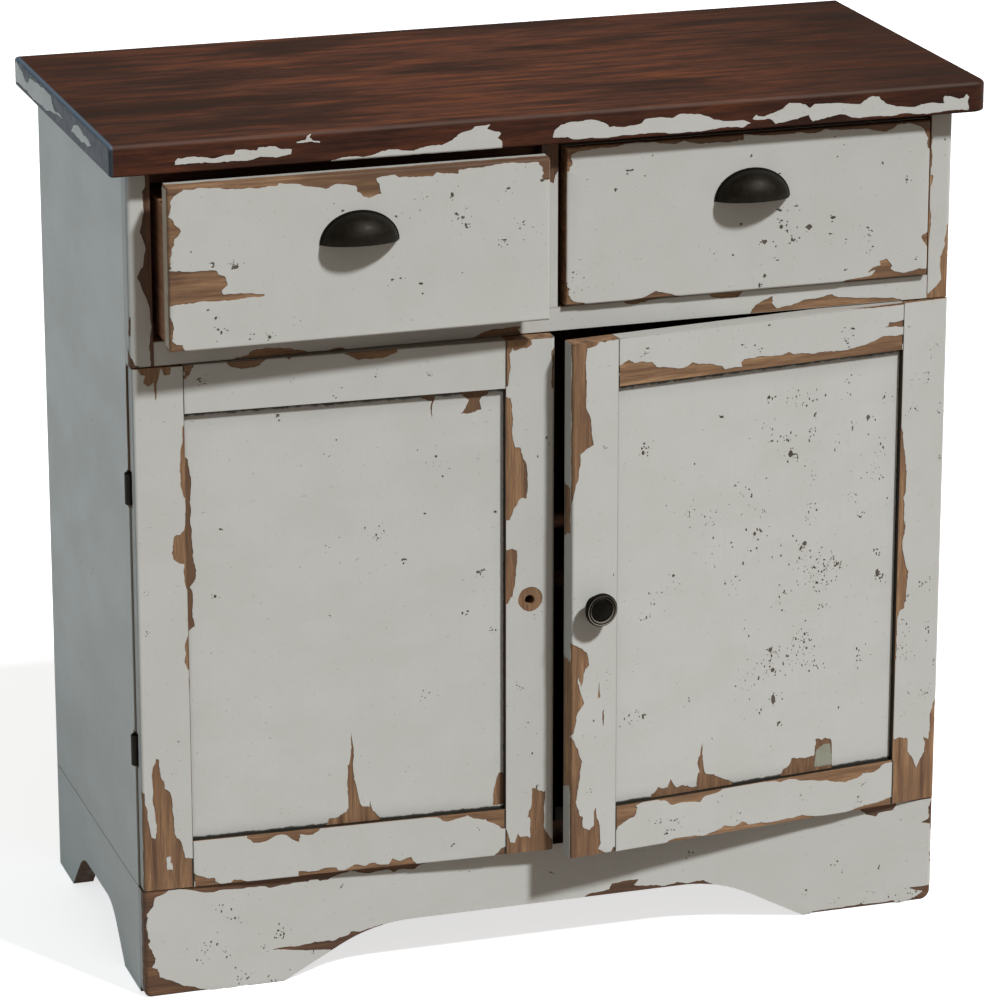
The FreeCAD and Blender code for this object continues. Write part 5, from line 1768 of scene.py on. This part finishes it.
@dataclass
class Door:
    """A framed door with a flat panel, its hinges and what is fixed to it."""

    WALL_SEED = 30
    SEAM_SEED = 40

    side: str
    ajar_deg: float
    hinge_edge: float
    lock_edge: float
    chips: dict[str, tuple[Outline, ...]]
    specks: dict[str, Specks]
    seed: int
    panel_shade: Triple
    flakes: tuple[Outline, ...] = ()
    knob_hole: tuple[Triple, ...] = ()
    member: float = 47.0
    rail: float = 46.0
    low: float = 108.7
    high: float = 618.8
    front: float = -179.0
    thickness: float = 17.0
    recess_depth: float = 6.0
    radius: float = 2.5
    axis_y: float = -161.5
    half: float = 400.0
    barrel_reach: float = 5.5
    seam_half: float = 1.5
    back_gap: float = 0.5
    rail_gap: float = 1.5

    @property
    def body(self) -> str:
        """The door's name as a body."""
        return self.side + "_door"

    @property
    def sign(self) -> float:
        """Which way the middle of the cabinet lies from the hinges."""
        return 1.0 if self.side == "left" else -1.0

    def move(self, points: np.ndarray) -> np.ndarray:
        """Takes points of the closed door to where it stands, turned about its hinges.

        Args:
            points: points of the closed door, in rows.

        Returns:
            The moved points.
        """
        turn = -self.sign * math.radians(self.ajar_deg)
        x = points[:, 0] + self.sign * self.half
        y = points[:, 1] - self.axis_y
        moved = points.copy()
        moved[:, 0] = x * math.cos(turn) - y * math.sin(turn) - self.sign * self.half
        moved[:, 1] = x * math.sin(turn) + y * math.cos(turn) + self.axis_y
        return moved

    def coat(
        self, part: str, facing: Facing, across: Span, along: Span, number: int, low: Edge = Edge(),
        high: Edge = Edge(), cuts: tuple[Outline, ...] = (), **more: object
    ) -> None:
        """Coats one board of the door.

        Args:
            part: the board's name on the door.
            facing: the way it looks.
            across: its reach across.
            along: its reach along.
            number: what tells its seed from the others.
            low: its lower long edge.
            high: its upper long edge.
            cuts: outlines left free of paint, besides the chips.
            more: what else the coat is told.
        """
        plane = self.front + (self.recess_depth if part in ("panel", "old") else 0.0)
        Coat(
            "%s_%s_paint" % (self.body, part), self.body, facing, plane, across, along, self.seed + number,
            low, high, chips=self.chips.get(part, ()) + cuts, specks=self.specks.get(part, Specks()), **more,
        ).build(self.move)

    def build(self, barrel_cuts: Callable[[float, float], tuple[Outline, ...]]) -> None:
        """Dresses the door and coats its front and edges.

        Args:
            barrel_cuts: gives the cuts round the hinge barrels between two places across.
        """
        name = self.body + "_"
        turned = self.sign * self.ajar_deg
        stile_wood = wood(Tone.BARE, Grain.UPRIGHT, turned)
        dress(stile_wood, name + "hinge_stile", name + "lock_stile")
        dress(replace(stile_wood, name=name + "panel_wood", shade=self.panel_shade), name + "panel")
        dress(wood(Tone.BARE, Grain.LEVEL, turned), name + "top_rail", name + "bottom_rail")
        dress(BRONZE, name + "hinge_leaves")
        dress(STEEL, name + "leaf_screws", name + "strike_plate")
        outer = Edge(self.radius, wrap=self.thickness - self.radius - self.back_gap, worn=1.5)
        plain = Edge(worn=1.6)
        first, second = (outer, plain) if self.side == "left" else (plain, outer)
        inward = self.sign * self.member
        hinge = tuple(sorted((self.hinge_edge, self.hinge_edge + inward)))
        lock = tuple(sorted((self.lock_edge, self.lock_edge - inward)))
        rim = self.hinge_edge - self.sign * (outer.past - self.radius)
        cuts = barrel_cuts(*sorted((rim, rim + self.sign * self.barrel_reach)))
        face, upright = Facing.FRONT_UPRIGHT, (self.low, self.high)
        self.coat("hinge_stile", face, hinge, upright, 1, first, second, cuts, flakes=self.flakes)
        self.coat("lock_stile", face, lock, upright, 2, second, first, rings=self.knob_hole)
        level = tuple(sorted((self.hinge_edge + inward, self.lock_edge - inward)))
        opening = (self.low + self.rail, self.high - self.rail)
        over = Edge(wrap=self.thickness - self.rail_gap, worn=1.5)
        self.coat("top_rail", Facing.FRONT_LEVEL, (opening[1], self.high), level, 3, plain, over)
        self.coat("bottom_rail", Facing.FRONT_LEVEL, (self.low, opening[0]), level, 4, over, plain)
        self.coat("panel", face, level, opening, 5, plain, plain, finish=PANEL_WHITE)
        self.recess(level, opening)

    def recess(self, level: Span, opening: Span) -> None:
        """Coats the walls round the panel with dark grime and painted shade, and the frame's joints with
        dark grime.

        Args:
            level: the opening's reach from left to right.
            opening: its reach upward.
        """
        depth = (self.front, self.front + self.recess_depth)
        clean = Edge(worn=0.0)
        walls = (
            ("left", Facing.RIGHT_UPRIGHT, level[0], opening),
            ("right", Facing.LEFT_UPRIGHT, level[1], opening),
            ("lower", Facing.UP_LEVEL, opening[0], level),
            ("upper", Facing.DOWN_LEVEL, opening[1], level),
        )
        # The recess walls get near-black sheets: grime and painted shade.
        for number, (name, facing, plane, along) in enumerate(walls):
            Coat(
                "%s_%s_wall_grime" % (self.body, name), self.body, facing, plane, depth, along,
                self.seed + self.WALL_SEED + number, Edge(worn=1.8), clean,
                end_worn=0.0, lift=0.25, finish=GRIME_AND_SHADE,
            ).build(self.move)
        for number, x in enumerate(level):
            across = (x - self.seam_half, x + self.seam_half)
            for name, along in (("low", (self.low, opening[0])), ("high", (opening[1], self.high))):
                Coat(
                    "%s_%s_joint_%d_grime" % (self.body, name, number), self.body, Facing.FRONT_UPRIGHT,
                    self.front, across, along, self.seed + self.SEAM_SEED + number, clean, clean,
                    end_worn=0.0, lift=0.12, finish=GRIME_AND_SHADE,
                ).build(self.move)

    def knob(self, x: float, z: float, rings: tuple[float, ...]) -> None:
        """Dresses the knob, with painted highlights on the crests of its rings.

        Args:
            x: the knob's place across the closed door.
            z: its height.
            rings: the crests' radii.
        """
        face, ahead = self.move(np.array([(x, self.front, z), (x, self.front - 1.0, z)]))
        where = {"rings": rings, "middle": tuple(face), "axis": tuple(ahead - face)}
        tones = {"base": srgb(7, 6, 4), "worn": srgb(13, 11, 8), "specular": 0.05}
        dress(replace(BRONZE, name="knob_bronze", **tones, **where), self.body + "_knob")
        dress(STEEL, self.body + "_knob_bolt")


@dataclass
class Stage:
    """Camera, lights and floor."""

    place: Triple = (-1.37925, -4.31546, 1.85607)
    pitch: float = 0.310828703
    yaw: float = 0.311351678
    roll: float = 0.000257544
    sensor: float = 36.0
    lens: float = 175.33715
    to_sun: Triple = (0.359, -0.569, 0.740)
    sun: float = 3.5
    sun_colour: Colour = (0.93, 0.96, 1.0)
    sun_angle_deg: float = 5.5
    sky: Colour = (0.225, 0.206, 0.178)
    fill: float = 17.5
    fill_size: float = 2.2
    fill_place: Triple = (-2.8, 0.2, 0.9)
    to_fill: Triple = (-1.0, 0.05, 0.15)
    fill_colour: Colour = (0.42, 0.75, 1.0)
    floor_half: float = 30.0

    def camera(self) -> None:
        """Sets the camera."""
        data = bpy.data.cameras.new("camera")
        data.sensor_width = self.sensor
        data.lens = self.lens
        made = stand("camera", data)
        made.location = self.place
        made.rotation_euler = Euler((math.pi / 2 - self.pitch, self.roll, -self.yaw))
        bpy.context.scene.camera = made

    def lights(self) -> None:
        """Sets the sun, a cool fill from the left and the sky."""
        sun = bpy.data.lights.new("sun", "SUN")
        sun.energy = self.sun
        sun.color = self.sun_colour
        sun.angle = math.radians(self.sun_angle_deg)
        made = stand("sun", sun)
        made.rotation_euler = Vector(self.to_sun).to_track_quat("Z", "Y").to_euler()
        fill = bpy.data.lights.new("fill", "AREA")
        fill.energy = self.fill
        fill.size = self.fill_size
        fill.color = self.fill_colour
        made = stand("fill", fill)
        made.location = self.fill_place
        made.visible_camera = False
        made.visible_glossy = False
        made.rotation_euler = Vector(self.to_fill).to_track_quat("Z", "Y").to_euler()
        world = bpy.data.worlds.new("sky")
        world.use_nodes = True
        world.node_tree.nodes.clear()
        bpy.context.scene.world = world
        tree = Tree(world.node_tree)
        sky = tree.add("ShaderNodeBackground", {0: (*self.sky, 1.0)})
        tree.add("ShaderNodeOutputWorld", {0: sky.outputs[0]})

    def ground(self) -> None:
        """Lays a plain pale floor."""
        mesh = bpy.data.meshes.new("floor")
        far = self.floor_half
        corners = [(-far, -far, 0), (far, -far, 0), (far, far, 0), (-far, far, 0)]
        mesh.from_pydata(corners, [], [(0, 1, 2, 3)])
        mesh.materials.append(Ground("floor").material())
        stand("floor", mesh)

    def build(self) -> None:
        """Sets up all that is not the cabinet."""
        bpy.context.scene.view_settings.view_transform = "Standard"
        self.camera()
        self.lights()
        self.ground()


def main() -> None:
    """Builds the whole scene."""
    logging.basicConfig(level=logging.INFO, format="%(message)s")
    Stage().build()
    TopBoard().build()
    carcass = Carcass()
    carcass.build()
    Base().build()
    Drawer(
        "left", pulled=40.0, chips=LEFT_DRAWER_CHIPS, specks=LEFT_DRAWER_SPECKS, seed=41,
        span=(-372.5, -13.0), low=643.3,
    ).build()
    Drawer(
        "right", pulled=7.0, chips=RIGHT_DRAWER_CHIPS, specks=RIGHT_DRAWER_SPECKS, seed=51,
        span=(13.6, 375.0), low=645.2, painted_ends=(Facing.RIGHT_UPRIGHT,),
    ).build()
    Door(
        "left", ajar_deg=2.3, hinge_edge=-398.0, lock_edge=0.5, chips=LEFT_DOOR_CHIPS,
        specks=LEFT_DOOR_SPECKS, seed=61, panel_shade=(260.0, 360.0, 0.6), flakes=LEFT_DOOR_FLAKES,
        knob_hole=((-22.5, 364.5, 12.0),),
    ).build(carcass.barrel_cuts)
    right = Door(
        "right", ajar_deg=6.5, hinge_edge=398.0, lock_edge=3.5, chips=RIGHT_DOOR_CHIPS,
        specks=RIGHT_DOOR_SPECKS, seed=71, panel_shade=(0.0, 100.0, 0.35),
    )
    right.build(carcass.barrel_cuts)
    right.coat(
        "old", Facing.FRONT_UPRIGHT, across=(260, 295), along=(154.7, 190), number=9,
        painted=False, lift=0.3, flakes=(OLD_PAINT_PATCH,), finish=OLD_PAINT,
    )
    right.knob(x=27.0, z=361.25, rings=(14.3, 11.8))


if __name__ == "__main__":
    main()
